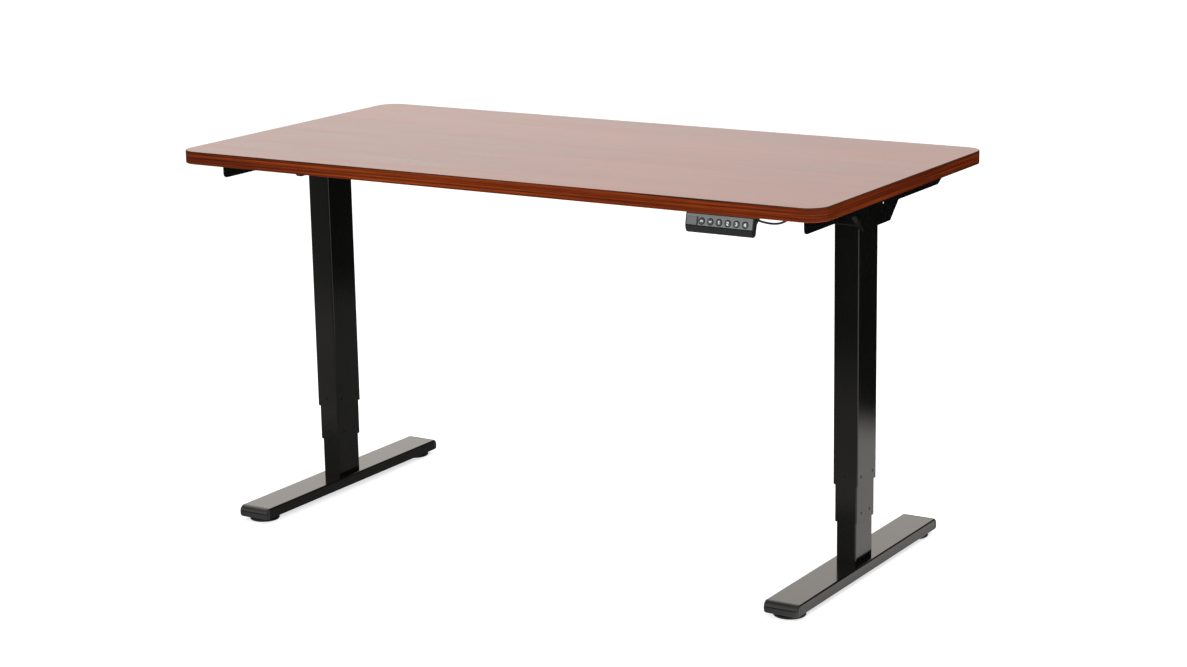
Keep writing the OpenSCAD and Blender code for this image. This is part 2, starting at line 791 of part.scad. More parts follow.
module power_inlet() {
    size = inlet_size;
    hollow = [size[0], size[1] - 2 * inlet_wall, size[2] - 2 * inlet_wall];
    color("#151515") translate([-box_l / 2, inlet_y, inlet_z]) {
        difference() {
            translate([0, -size[1] / 2, -size[2] / 2]) cube(size);
            translate([-inlet_wall - 1, -hollow[1] / 2, -hollow[2] / 2])
                cube([hollow[0] + 1, hollow[1], hollow[2]]);
        }
        for (p = [[-7, -2], [0, 3], [7, -2]])
            translate([size[0] - inlet_wall - pin_size[0], p[0] - pin_size[1] / 2, p[1] - pin_size[2] / 2])
                cube(pin_size);
    }
}

// ---- Handset ----

module handset_wall_outline() {
    difference() {
        polygon(handset_outline(0));
        polygon(handset_outline(handset_wall));
    }
}

module face_region() {
    translate([handset_y - 1, chin_z + 1]) square([face_run + 5, cover_top_z - chin_z - 1]);
}

module chin_region() {
    translate([handset_y - 1, chin_z - 30]) square([chin_depth + 1, 30]);
}

module handset_case() {
    left = handset_x - handset_w / 2;
    inner_w = handset_w - 2 * handset_wall;
    color("#1d1d1e") difference() {
        union() {
            along_x(left, handset_w) polygon(handset_outline(0));
            translate([left - wing_w, wing_front_y, frame_top - wing_t])
                cube([handset_w + 2 * wing_w, wing_depth, wing_t]);
        }
        along_x(left + handset_wall, inner_w) polygon(handset_outline(handset_wall));
        along_x(left + handset_wall, inner_w) intersection() {
            polygon(handset_outline(0));
            face_region();
        }
        along_x(left - 1, handset_w + 2) intersection() {
            handset_wall_outline();
            chin_region();
        }
        for (s = [-1, 1])
            translate([handset_x + s * (handset_w / 2 + wing_w / 2), wing_hole_y, frame_top - wing_t - 1])
                cylinder(h = wing_t + 2, d = screw_d + 0.8);
        translate(handset_exit) rotate([90, 0, 0])
            cylinder(h = 20, d = handset_cable_d + 2 * cable_hole_gap, center = true);
    }
}

module handset_fascia() {
    color("#0c0c0c") along_x(handset_x - handset_w / 2, handset_w) intersection() {
        handset_wall_outline();
        chin_region();
    }
}

module handset_cover() {
    color("#4a4c4d") {
        difference() {
            along_x(handset_x - handset_w / 2 + handset_wall, handset_w - 2 * handset_wall) intersection() {
                handset_wall_outline();
                face_region();
            }
            for (x = button_xs)
                on_face(x, button_z) rotate([-90, 0, 0])
                    cylinder(h = 20, d = button_d + 2 * gap, center = true);
            on_face(window_x, button_z) cube([window_w + 0.4, 20, window_h + 0.4], center = true);
        }
        for (x = boss_xs)
            on_face(x, button_z) translate([0, handset_wall - 0.2, 0]) rotate([-90, 0, 0])
                cylinder(h = board_in - handset_wall + 0.2, d = boss_d);
    }
}

module display_window() {
    color("#08090b") on_face(window_x, button_z) translate([-window_w / 2, 0, -window_h / 2])
        cube([window_w, handset_wall, window_h]);
}

// The handset's board carries one small switch behind each button
module handset_board() {
    length = handset_w - 14;
    color("#2f6b3a") {
        on_face(handset_x, button_z) translate([-length / 2, board_in, -8]) cube([length, board_t, 16]);
        for (x = button_xs)
            on_face(x, button_z) translate([-switch_w / 2, board_in - switch_h, -switch_w / 2])
                cube([switch_w, switch_h, switch_w]);
    }
}

module button(i) {
    color("#3a3b3c") on_face(button_xs[i], button_z) rotate([-90, 0, 0]) {
        translate([0, 0, -button_out]) cylinder(h = button_out + handset_wall + 2 * gap, d = button_d);
        translate([0, 0, handset_wall + gap]) cylinder(h = button_flange_h, d = button_flange_d);
    }
}

module up_button() { button(0); }
module down_button() { button(1); }
module preset_1_button() { button(2); }
module preset_2_button() { button(3); }
module preset_3_button() { button(4); }
module preset_4_button() { button(5); }

// ---- Cords, clips and fasteners ----

module handset_cable() { color("#2a2a2a") cord(handset_route, handset_cable_d); }
module left_motor_cable() { color("#1a1a1a") cord(left_motor_route, motor_cable_d); }
module right_motor_cable() { color("#1a1a1a") cord(right_motor_route, motor_cable_d); }

module cable_clips() {
    color("#d8d8d6") for (c = clip_spots)
        translate([c[0], c[1], frame_top]) rotate([0, 0, c[2]]) difference() {
            translate([-clip_w / 2, -clip_l / 2 + clip_shift, -clip_h]) cube([clip_w, clip_l, clip_h]);
            translate([0, 0, clip_cable_z - frame_top]) rotate([0, 90, 0])
                cylinder(h = 20, d = c[3] + 2 * slip_gap, center = true);
            translate([0, clip_screw, -clip_h - 1]) cylinder(h = clip_h + 2, d = screw_d + 0.8);
        }
}

module wood_screws() {
    color("#a9abad") for (s = screw_spots)
        translate([s[0], s[1], frame_top - s[2]])
            bolt(screw_d, s[2] + screw_bite, screw_head_d, screw_head_h);
}

module frame_bolts() {
    color("#a9abad") for (side = [-1, 1], end = [-1, 1]) on_side(side) {
        translate([bracket_x, end * rail_y, rail_z]) rotate([0, -90, 0])
            bolt(bolt_d, plug_l, bolt_head_d, bolt_head_h);
        for (x = [-head_bolt_x, head_bolt_x])
            translate([column_x + x, end * (head_y / 2 - head_wall_t), rail_z]) rotate([-end * 90, 0, 0])
                bolt(bolt_d, head_bolt_l, bolt_head_d, bolt_head_h);
        translate([clamp_x, end * rail_y, rail_z - rail_w / 2])
            bolt(bolt_d, clamp_bolt_l, bolt_head_d, bolt_head_h);
    }
}

desktop_panel();
edge_band();
left_side_bracket();
right_side_bracket();
front_rail();
rear_rail();
rail_ends();
left_column_head();
right_column_head();
left_gearbox();
right_gearbox();
left_motor();
right_motor();
left_outer_tube();
right_outer_tube();
outer_tube_liners();
left_mid_tube();
right_mid_tube();
left_mid_liner();
right_mid_liner();
left_mid_nut();
right_mid_nut();
left_upper_screw();
right_upper_screw();
left_lower_screw();
right_lower_screw();
left_inner_tube();
right_inner_tube();
base_nuts();
base_blocks();
left_foot_beam();
right_foot_beam();
foot_end_caps();
foot_bolts();
glide_inserts();
front_left_glide();
rear_left_glide();
front_right_glide();
rear_right_glide();
control_box_tray();
control_box_lid();
control_board();
power_inlet();
handset_case();
handset_fascia();
handset_cover();
display_window();
handset_board();
up_button();
down_button();
preset_1_button();
preset_2_button();
preset_3_button();
preset_4_button();
handset_cable();
left_motor_cable();
right_motor_cable();
cable_clips();
wood_screws();
frame_bolts();
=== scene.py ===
# %% [markdown]
# # A height adjustable standing desk
# The working parts of the desk are already drawn as a fixed frame of plain solids.
# This lesson dresses that frame: every piece that shows gets its real edges, its small
# details and a finish at its real scale. We load the frame first, because every place and
# size below is read from it.

# %% Load the frame
import math
import bmesh
import bpy
from mathutils import Matrix, Vector


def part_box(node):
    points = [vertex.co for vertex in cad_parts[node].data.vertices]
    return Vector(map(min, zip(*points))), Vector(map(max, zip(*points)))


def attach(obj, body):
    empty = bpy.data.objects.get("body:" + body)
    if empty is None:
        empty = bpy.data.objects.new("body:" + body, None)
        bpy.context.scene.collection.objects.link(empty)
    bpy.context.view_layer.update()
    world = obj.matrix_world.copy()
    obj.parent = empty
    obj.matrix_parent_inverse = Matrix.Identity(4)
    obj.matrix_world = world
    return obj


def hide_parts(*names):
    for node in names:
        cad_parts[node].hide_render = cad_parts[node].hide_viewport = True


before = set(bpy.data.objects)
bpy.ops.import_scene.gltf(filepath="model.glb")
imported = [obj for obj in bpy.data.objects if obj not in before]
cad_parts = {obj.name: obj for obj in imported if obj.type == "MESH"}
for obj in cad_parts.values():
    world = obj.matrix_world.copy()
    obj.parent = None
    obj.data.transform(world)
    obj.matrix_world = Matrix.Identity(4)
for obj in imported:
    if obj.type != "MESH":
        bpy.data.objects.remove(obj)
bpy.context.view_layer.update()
MM = 0.001

# %% [markdown]
# ## The camera and the light
# The desk is seen from its front right, from a standing person's eye height and about five
# metres away. A long lens keeps the legs nearly upright. The floor is plain and pale. A large
# soft lamp hangs above and a wide one stands in front. Both are kept out of reflections. What
# the glossy steel and the top mirror is set apart from that: a bright wall on each side of
# the room, and a glowing sheet under the floor that only reflections see. That sheet is a
# painted floor reflection: bright to the right of the desk, with the desk's shadow painted
# dim beneath it.

# %% Camera
def look_through(name, place, pan, tilt, roll, lens):
    """A camera at place. Pan turns it left, tilt down and roll clockwise, all in degrees."""
    a, b, c = (math.radians(v) for v in (pan, tilt, roll))
    ahead = Vector((-math.sin(a) * math.cos(b), math.cos(a) * math.cos(b), -math.sin(b)))
    level = Vector((math.cos(a), math.sin(a), 0))
    above = level.cross(ahead)
    right = level * math.cos(c) + above * math.sin(c)
    up = above * math.cos(c) - level * math.sin(c)
    data = bpy.data.cameras.new(name)
    data.lens = lens
    data.sensor_width = 36
    camera = bpy.data.objects.new(name, data)
    turn = Matrix((right, up, -ahead)).transposed().to_4x4()
    camera.matrix_world = Matrix.Translation(place) @ turn
    bpy.context.scene.collection.objects.link(camera)
    return camera


camera = look_through("camera", Vector((2.6057, -4.1384, 1.5657)), 31.873, 13.464, -1.021, 77.87)
bpy.context.scene.camera = camera
bpy.context.scene.view_settings.view_transform = "Standard"
print("camera at", tuple(camera.location))

# %% Floor, sky and lamps
def node_tree(block):
    block.use_nodes = True
    block.node_tree.nodes.clear()
    return block.node_tree


def add_node(tree, kind, inputs=None, **settings):
    """One shader node. Inputs are numbers, colours or the sockets that feed them."""
    made = tree.nodes.new(kind)
    for key, value in settings.items():
        setattr(made, key, value)
    for key, value in (inputs or {}).items():
        if isinstance(value, bpy.types.NodeSocket):
            tree.links.new(value, made.inputs[key])
        else:
            made.inputs[key].default_value = value
    return made


def soft_lamp(name, place, target, width, depth, watts):
    data = bpy.data.lights.new(name, "AREA")
    data.shape = "RECTANGLE"
    data.size = width
    data.size_y = depth
    data.energy = watts
    lamp = bpy.data.objects.new(name, data)
    lamp.location = place
    lamp.rotation_euler = (Vector(target) - Vector(place)).to_track_quat("-Z", "Y").to_euler()
    lamp.visible_glossy = False
    bpy.context.scene.collection.objects.link(lamp)


def combined(tree, how, first, second):
    return add_node(tree, "ShaderNodeMath", {0: first, 1: second}, operation=how).outputs[0]


def patch(tree, *ramps):
    """A patch of light. Each ramp goes smoothly from low to high while a value goes from
    start to end, given as (value, start, end, low, high). The ramps are multiplied."""
    light = None
    for value, start, end, low, high in ramps:
        ramp = add_node(tree, "ShaderNodeMapRange", {
            "Value": value, "From Min": start, "From Max": end, "To Min": low, "To Max": high,
        }, interpolation_type="SMOOTHSTEP").outputs[0]
        light = ramp if light is None else combined(tree, "MULTIPLY", light, ramp)
    return light


def picked(tree, factor, off, on):
    return add_node(tree, "ShaderNodeMix", {
        "Factor": factor, "A": off, "B": on,
    }, data_type="FLOAT").outputs[0]


def blended(tree, factor, first, second, how="MIX"):
    return add_node(tree, "ShaderNodeMix", {
        "Factor": factor, 6: first, 7: second,
    }, data_type="RGBA", blend_type=how).outputs[2]


def split_up(tree, kind):
    """The x, y and z of a texture coordinate."""
    place = add_node(tree, "ShaderNodeTexCoord").outputs[kind]
    return add_node(tree, "ShaderNodeSeparateXYZ", {0: place}).outputs


def studio_sky():
    """White to the eye, bright walls in reflections, and an even dim light otherwise."""
    world = bpy.data.worlds.new("studio")
    bpy.context.scene.world = world
    tree = node_tree(world)
    x, y, z = split_up(tree, "Generated")
    above = (z, -0.03, 0.05, 0.0, 1.0)
    behind = patch(tree, (y, -0.1, 0.55, 0.0, WALL_GLOW), (x, -0.64, -0.36, 1.06, 0.93),
                   (x, -0.28, -0.02, 1.0, 0.02), above)
    facing = patch(tree, (y, -0.55, -0.1, FRONT_GLOW, 0.0), above)
    rays = add_node(tree, "ShaderNodeLightPath").outputs
    mirrored = rays["Is Glossy Ray"]
    light = picked(tree, mirrored, SKY_FILL, combined(tree, "ADD", behind, facing))
    light = picked(tree, rays["Is Camera Ray"], light, 1.0)
    tone = blended(tree, mirrored, (1, 1, 1, 1), WARM_WALL)
    shine = add_node(tree, "ShaderNodeBackground", {"Color": tone, "Strength": light})
    add_node(tree, "ShaderNodeOutputWorld", {"Surface": shine.outputs[0]})


def sheet(name, half, z, material):
    """A square of the stage, level, with its middle on the Z axis."""
    mesh = bpy.data.meshes.new(name)
    corners = [(-half, -half, z), (half, -half, z), (half, half, z), (-half, half, z)]
    mesh.from_pydata(corners, [], [(0, 1, 2, 3)])
    made = bpy.data.objects.new(name, mesh)
    bpy.context.scene.collection.objects.link(made)
    mesh.materials.append(material)
    return made


def pale_floor():
    """The paper floor, a little over-exposed, as it lies under strong lamps."""
    paper = bpy.data.materials.new("floor_paper")
    tree = node_tree(paper)
    matt = add_node(tree, "ShaderNodeBsdfDiffuse", {"Color": (0.9, 0.9, 0.9, 1)})
    bright = add_node(tree, "ShaderNodeEmission", {"Color": (1, 1, 1, 1), "Strength": FLOOR_GLOW})
    both = add_node(tree, "ShaderNodeAddShader", {0: matt.outputs[0], 1: bright.outputs[0]})
    add_node(tree, "ShaderNodeOutputMaterial", {"Surface": both.outputs[0]})
    sheet("floor", FLOOR_HALF, 0, paper).visible_glossy = False


def painted_floor_reflection():
    """A glowing sheet that only reflections see: a painted floor reflection. It is bright to the right
    of the desk, has the desk's shadow painted dim beneath it, and has patches that paint highlights.
    """
    light = bpy.data.materials.new("painted_reflection_finish")
    tree = node_tree(light)
    x, y, _ = split_up(tree, "Object")
    # Painted light: these ramps set the painted floor reflection. It is dim beneath the desk as the desk's
    # painted shadow, and bright in patches as painted highlights on the edges.
    inside = (y, -0.7, -0.4, 0.0, 1.0)
    total = patch(tree, (x, 0.56, 0.71, 0.0, 1.0), (y, 0.80, 1.12, 1.0, 0.0), inside)
    for patches in (
        [(x, 0.58, 0.74, 0.15, 0.0), (y, 1.4, 1.8, 1.0, 0.0), inside],
        [(y, -0.55, -0.36, 0.30, 0.0), (y, -1.9, -0.9, 0.0, 1.0)],
        [(x, -1.5, -1.05, 0.15, 0.0), (y, -1.3, -0.8, 1.0, 0.0)],
        [(x, 1.3, 2.2, 0.0, 0.9), (y, -0.4, 0.0, 1.0, 0.0)],
    ):
        total = combined(tree, "ADD", total, patch(tree, *patches))
    glow = add_node(tree, "ShaderNodeEmission", {"Color": (1.0, 0.97, 0.92, 1), "Strength": total})
    add_node(tree, "ShaderNodeOutputMaterial", {"Surface": glow.outputs[0]})
    # The sheet of painted reflection, hidden from the camera, from diffuse light and from shadows.
    card = sheet("painted_reflection_sheet", MIRRORED_HALF, -2 * MM, light)
    card.visible_camera = False
    card.visible_diffuse = False
    card.visible_shadow = False


WALL_GLOW = 1.48
FRONT_GLOW = 0.75
SKY_FILL = 0.36
FLOOR_GLOW = 0.68
WARM_WALL = (1.0, 0.95, 0.885, 1)
FLOOR_HALF = 30
MIRRORED_HALF = 4.5
studio_sky()
pale_floor()
painted_floor_reflection()
soft_lamp("ceiling_lamp", (0.3, 0.6, 3.6), (0, 0.2, 0), 5.0, 4.0, 95)
soft_lamp("front_lamp", (0.8, -4.2, 2.2), (0, 0, 0.6), 4.0, 2.4, 70)
print("one ceiling lamp, one front lamp, pale floor")

# %% [markdown]
# ## Finishes
# Each finish is worked out from where a point lies on its piece, in metres, so the grain and
# the speckle keep their real size. Numbers that are the same all over go straight on the
# shader. We start with one helper that every finish shares: it takes a colour, a roughness
# and a small relief, each of which may be a plain number or a pattern.

# %% Finish helpers
def pattern_space(tree, stretch):
    """Places on the piece in metres, stretched by three factors."""
    coords = add_node(tree, "ShaderNodeTexCoord").outputs["Object"]
    return add_node(tree, "ShaderNodeMapping", {"Vector": coords, "Scale": stretch}).outputs[0]


def speckle(tree, stretch, detail=2.0, roughness=0.5, distortion=0.0):
    """A soft random pattern from 0 to 1 with about one blotch in each stretched metre."""
    return add_node(tree, "ShaderNodeTexNoise", {
        "Vector": pattern_space(tree, stretch), "Scale": 1.0, "Detail": detail,
        "Roughness": roughness, "Distortion": distortion,
    }).outputs["Fac"]


def between(tree, value, low, high, from_low=0.0, from_high=1.0):
    return add_node(tree, "ShaderNodeMapRange", {
        "Value": value, "From Min": from_low, "From Max": from_high, "To Min": low, "To Max": high,
    }).outputs[0]


def tinted(tree, value, stops):
    """A colour for each value, from a list of (place, red, green, blue)."""
    ramp = add_node(tree, "ShaderNodeValToRGB", {"Fac": value})
    points = ramp.color_ramp.elements
    while len(points) < len(stops):
        points.new(0.5)
    for point, (place, *colour) in zip(points, stops):
        point.position = place
        point.color = (*colour, 1)
    return ramp.outputs["Color"]


def relief(tree, height, depth, strength=1.0):
    return add_node(tree, "ShaderNodeBump", {
        "Height": height, "Strength": strength, "Distance": depth,
    }).outputs[0]


def finish(name, paint):
    """A material. Paint draws it and returns the inputs of its main shader."""
    made = bpy.data.materials.new(name)
    tree = node_tree(made)
    main = add_node(tree, "ShaderNodeBsdfPrincipled", paint(tree))
    add_node(tree, "ShaderNodeOutputMaterial", {"Surface": main.outputs[0]})
    return made


print("finish helpers ready")

# %% [markdown]
# The top is a mahogany-look laminate. Its print has long grain along the desk: broad, slow
# bands of lighter and darker red brown, and thin pores a fraction of a millimetre wide and
# a few centimetres long. It is sealed and satin, so a low viewer sees much of the bright
# wall behind it mirrored softly. Stretched noise gives the grain, because a printed picture of
# wood would repeat and could not be read as a recipe.

# %% Wood finishes
def laminate(tree):
    bands = speckle(tree, (1.1, 9.0, 1.0), detail=5.0, roughness=0.55, distortion=0.6)
    figure = speckle(tree, (2.6, 46.0, 1.0), detail=4.0, roughness=0.6, distortion=0.35)
    pores = speckle(tree, (28.0, 1500.0, 1.0), detail=2.0)
    base = tinted(tree, bands, [
        (0.30, 0.155, 0.024, 0.013), (0.52, 0.190, 0.032, 0.018), (0.72, 0.222, 0.042, 0.024),
    ])
    lines = tinted(tree, figure, [(0.36, 0.70, 0.62, 0.58), (0.56, 1.0, 1.0, 1.0), (0.74, 1.12, 1.12, 1.10)])
    dark_pores = tinted(tree, pores, [(0.33, 0.62, 0.56, 0.52), (0.44, 1.0, 1.0, 1.0)])
    colour = blended(tree, 0.75, base, lines, "MULTIPLY")
    colour = blended(tree, 0.55, colour, dark_pores, "MULTIPLY")
    return {
        "Base Color": colour,
        "Roughness": between(tree, figure, 0.24, 0.34),
        "Specular IOR Level": 0.5,
        "IOR": 1.5,
        "Normal": relief(tree, pores, 0.00002, 0.5),
    }


BAND_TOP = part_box("edge_band")[1].z
GLUE_DEPTH = 1.5 * MM


def edge_grain(tree):
    layers = speckle(tree, (1.6, 1.6, 480.0), detail=4.0, roughness=0.62, distortion=0.05)
    fine = speckle(tree, (24.0, 24.0, 1500.0), detail=2.0)
    base = tinted(tree, layers, [
        (0.34, 0.024, 0.004, 0.001), (0.47, 0.112, 0.013, 0.001),
        (0.60, 0.225, 0.032, 0.001), (0.74, 0.370, 0.088, 0.005),
    ])
    streaks = tinted(tree, fine, [(0.36, 0.55, 0.50, 0.45), (0.60, 1.1, 1.1, 1.1)])
    wood = blended(tree, 0.6, base, streaks, "MULTIPLY")
    height = split_up(tree, "Object")["Z"]
    glue_line = between(tree, height, 0, 1, BAND_TOP - GLUE_DEPTH, BAND_TOP - GLUE_DEPTH / 2)
    return {
        "Base Color": blended(tree, glue_line, wood, (0.020, 0.007, 0.004, 1)),
        "Roughness": between(tree, fine, 0.30, 0.42),
        "Specular IOR Level": 0.10,
        "Normal": relief(tree, fine, 0.00003, 0.5),
    }


def backing_paper(tree):
    mottle = speckle(tree, (60.0, 60.0, 60.0), detail=4.0)
    return {
        "Base Color": tinted(tree, mottle, [(0.3, 0.030, 0.022, 0.018), (0.7, 0.042, 0.031, 0.026)]),
        "Roughness": 0.6,
        "Normal": relief(tree, speckle(tree, (700.0, 700.0, 700.0)), 0.00003, 0.4),
    }


MAHOGANY = finish("mahogany_laminate", laminate)
EDGE_WOOD = finish("mahogany_edge", edge_grain)
BACKING = finish("backing_paper", backing_paper)
print("wood:", MAHOGANY.name, EDGE_WOOD.name, BACKING.name)

# %% [markdown]
# The steel is powder coated: black, glossy, with a very fine orange-peel surface. Plastics
# get a finer sand-blasted texture, rubber a duller one, and the hidden bright parts are zinc,
# cast alloy and steel.
# One function per family keeps the differences in a few numbers.

# %% Metal and plastic finishes
def coated_steel(base, rough):
    def paint(tree):
        patches = speckle(tree, (9.0, 9.0, 9.0), detail=4.0)
        peel = speckle(tree, (900.0, 900.0, 900.0), detail=1.0)
        colour = tinted(tree, patches, [
            (0.3, base * 0.88, base * 0.86, base * 0.84), (0.7, base * 1.12, base * 1.10, base * 1.06),
        ])
        return {
            "Base Color": colour,
            "Roughness": between(tree, patches, rough - 0.02, rough + 0.03),
            "Specular IOR Level": 0.5,
            "Normal": relief(tree, peel, 0.00004, 0.35),
        }
    return paint


def moulded(colour, rough, grain=1600.0, depth=0.00004, coat=0.0):
    def paint(tree):
        clouds = speckle(tree, (25.0, 25.0, 25.0), detail=3.0)
        sand = speckle(tree, (grain, grain, grain), detail=1.0)
        dark = tuple(c * 0.92 for c in colour)
        light = tuple(c * 1.08 for c in colour)
        return {
            "Base Color": tinted(tree, clouds, [(0.3, *dark), (0.7, *light)]),
            "Roughness": between(tree, clouds, rough - 0.02, rough + 0.03),
            "Coat Weight": coat,
            "Coat Roughness": 0.05,
            "Normal": relief(tree, sand, depth, 0.5),
        }
    return paint


def bare_metal(colour, rough, stretch):
    def paint(tree):
        marks = speckle(tree, stretch, detail=3.0)
        dark = tuple(c * 0.85 for c in colour)
        return {
            "Base Color": tinted(tree, marks, [(0.3, *dark), (0.7, *colour)]),
            "Metallic": 1.0,
            "Roughness": between(tree, marks, rough - 0.06, rough + 0.08),
            "Normal": relief(tree, marks, 0.00003, 0.3),
        }
    return paint


def circuit(tree):
    tracks = add_node(tree, "ShaderNodeTexVoronoi", {
        "Vector": pattern_space(tree, (260.0, 260.0, 260.0)), "Scale": 1.0,
    }, distance="CHEBYCHEV").outputs["Distance"]
    return {
        "Base Color": tinted(tree, tracks, [(0.2, 0.02, 0.09, 0.035), (0.5, 0.03, 0.14, 0.05)]),
        "Roughness": 0.35,
    }


BLACK_STEEL = finish("black_powder_coat", coated_steel(0.0050, 0.12))
MOTOR_PAINT = finish("motor_black", coated_steel(0.016, 0.38))
CAST = finish("die_cast_alloy", bare_metal((0.42, 0.43, 0.44), 0.5, (300.0, 300.0, 300.0)))
ZINC = finish("zinc_steel", bare_metal((0.60, 0.60, 0.59), 0.34, (120.0, 120.0, 120.0)))
GROUND = finish("ground_steel", bare_metal((0.55, 0.56, 0.57), 0.28, (60.0, 60.0, 900.0)))
LINER = finish("liner_plastic", moulded((0.002, 0.002, 0.002), 0.60))
ACETAL = finish("acetal_nut", moulded((0.62, 0.59, 0.50), 0.4))
CAP_PLASTIC = finish("end_cap_plastic", moulded((0.028, 0.028, 0.028), 0.36, 1100.0, 0.00006))
RUBBER = finish("glide_rubber", moulded((0.010, 0.010, 0.010), 0.55, 700.0, 0.00006))
BOX_PLASTIC = finish("box_plastic", moulded((0.024, 0.024, 0.026), 0.5, 900.0, 0.00008))
SHELL = finish("handset_shell", moulded((0.016, 0.016, 0.017), 0.38))
FASCIA = finish("gloss_fascia", moulded((0.010, 0.010, 0.010), 0.10, 900.0, 0.0, coat=0.6))
COVER = finish("satin_cover", moulded((0.165, 0.176, 0.180), 0.42))
WINDOW = finish("display_glass", moulded((0.120, 0.128, 0.132), 0.12, 900.0, 0.0, coat=0.5))
KEYS = finish("key_plastic", moulded((0.075, 0.080, 0.082), 0.40))
MARKS = finish("key_marks", moulded((0.90, 0.91, 0.90), 0.5))
SHEATH = finish("cable_sheath", moulded((0.020, 0.020, 0.020), 0.48, 1400.0))
CLIP = finish("clip_plastic", moulded((0.55, 0.55, 0.52), 0.45))
BOARD = finish("circuit_board", circuit)
print(len(bpy.data.materials), "materials")

# %% [markdown]
# ## Making shapes
# Nearly every piece of this desk is a flat outline pushed along a line, a hollow section cut
# to length, or a turned shape. So we write those three once, as mesh code, together with a
# rounding pass that breaks each sharp edge by a small real radius. A perfectly sharp edge
# never catches the light, which is what gives a computer model away.

# %% Outlines
def rounded(width, depth, radius, steps=6, middle=(0, 0)):
    """A rectangle with round corners, counter-clockwise from its right side."""
    points = []
    for quarter, (sx, sy) in enumerate([(1, 1), (-1, 1), (-1, -1), (1, -1)]):
        cx = middle[0] + sx * (width / 2 - radius)
        cy = middle[1] + sy * (depth / 2 - radius)
        for i in range(steps + 1):
            a = math.radians(90 * (quarter + i / steps))
            points.append((cx + radius * math.cos(a), cy + radius * math.sin(a)))
    return points


def filleted(corners, radii, steps=5):
    """A closed outline with each corner rounded by its own radius."""
    points = []
    count = len(corners)
    for i, radius in enumerate(radii):
        here = Vector(corners[i])
        to_last = (Vector(corners[i - 1]) - here).normalized()
        to_next = (Vector(corners[(i + 1) % count]) - here).normalized()
        if radius == 0:
            points.append(tuple(here))
            continue
        half = to_last.angle(to_next) / 2
        centre = here + (to_last + to_next).normalized() * (radius / math.sin(half))
        first = here + to_last * (radius / math.tan(half)) - centre
        last = here + to_next * (radius / math.tan(half)) - centre
        sweep = first.angle_signed(last)
        for k in range(steps + 1):
            points.append(tuple(centre + Matrix.Rotation(-sweep * k / steps, 2) @ first))
    return points


def placed(point, along, axis):
    """A flat point pushed to a place along an axis: x, y or z."""
    a, b = point
    return {"x": (along, a, b), "y": (a, along, b), "z": (a, b, along)}[axis]


def skin(bm, rings):
    """Close a shape over rings of points, with a flat face at each end."""
    bm.faces.new(rings[0])
    bm.faces.new(reversed(rings[-1]))
    for low, high in zip(rings, rings[1:]):
        for i in range(len(low)):
            j = (i + 1) % len(low)
            bm.faces.new((low[i], low[j], high[j], high[i]))


def prism(bm, outline, low, high, axis):
    skin(bm, [[bm.verts.new(placed(p, at, axis)) for p in outline] for at in (low, high)])


def box_outline(left, low, right, high):
    return [(left, low), (right, low), (right, high), (left, high)]


def circle(x, y, radius, steps):
    turns = [math.tau * k / steps for k in range(steps)]
    return [(x + radius * math.cos(a), y + radius * math.sin(a)) for a in turns]


def hollow(bm, outer, inner, low, high, axis):
    """A tube between two outlines that have the same number of points."""
    rings = [[bm.verts.new(placed(p, at, axis)) for p in line]
             for line in (outer, inner) for at in (low, high)]
    for i in range(len(outer)):
        j = (i + 1) % len(outer)
        for a, b in ((0, 1), (1, 3), (3, 2), (2, 0)):
            bm.faces.new((rings[a][i], rings[a][j], rings[b][j], rings[b][i]))


def turned(bm, profile, place, direction=(0, 0, 1), steps=40):
    """A turned shape: a profile of (radius, height) spun about a line through place."""
    frame_turn = Vector((0, 0, 1)).rotation_difference(Vector(direction)).to_matrix()
    rings = []
    for radius, height in profile:
        if radius == 0:
            rings.append([bm.verts.new(Vector(place) + frame_turn @ Vector((0, 0, height)))])
            continue
        rings.append([bm.verts.new(Vector(place) + frame_turn @ Vector((a, b, height)))
                      for a, b in circle(0, 0, radius, steps)])
    for low, high in zip(rings, rings[1:]):
        for k in range(steps):
            j = (k + 1) % steps
            quad = [low[k % len(low)], low[j % len(low)], high[j % len(high)], high[k % len(high)]]
            bm.faces.new(list(dict.fromkeys(quad)))


def rod(bm, radius, length, place, direction=(0, 0, 1), steps=20):
    turned(bm, [(0, 0), (radius, 0), (radius, length), (0, length)], place, direction, steps)


print("outline, prism, hollow and turned shapes ready")

# %% [markdown]
# The next helpers finish a shape: they cut holes with a solid tool, round the edges, smooth
# the shading and hand the piece to the frame. Cutting comes before rounding, so that the
# rims of the holes are rounded too.

# %% Finishing helpers
def as_object(name, bm):
    bmesh.ops.recalc_face_normals(bm, faces=bm.faces)
    mesh = bpy.data.meshes.new(name)
    bm.to_mesh(mesh)
    bm.free()
    made = bpy.data.objects.new(name, mesh)
    bpy.context.scene.collection.objects.link(made)
    return made


def drilled(bm, tool, how="DIFFERENCE"):
    """The shape less the tool, or only what lies in it. The tool is a shape too; both are used up."""
    part, cutter = as_object("part", bm), as_object("cutter", tool)
    cut = part.modifiers.new("cut", "BOOLEAN")
    cut.operation = how
    cut.solver = "EXACT"
    cut.object = cutter
    bpy.context.view_layer.update()
    result = part.evaluated_get(bpy.context.evaluated_depsgraph_get()).to_mesh()
    left = bmesh.new()
    left.from_mesh(result)
    for used in (part, cutter):
        mesh = used.data
        bpy.data.objects.remove(used)
        bpy.data.meshes.remove(mesh)
    return left


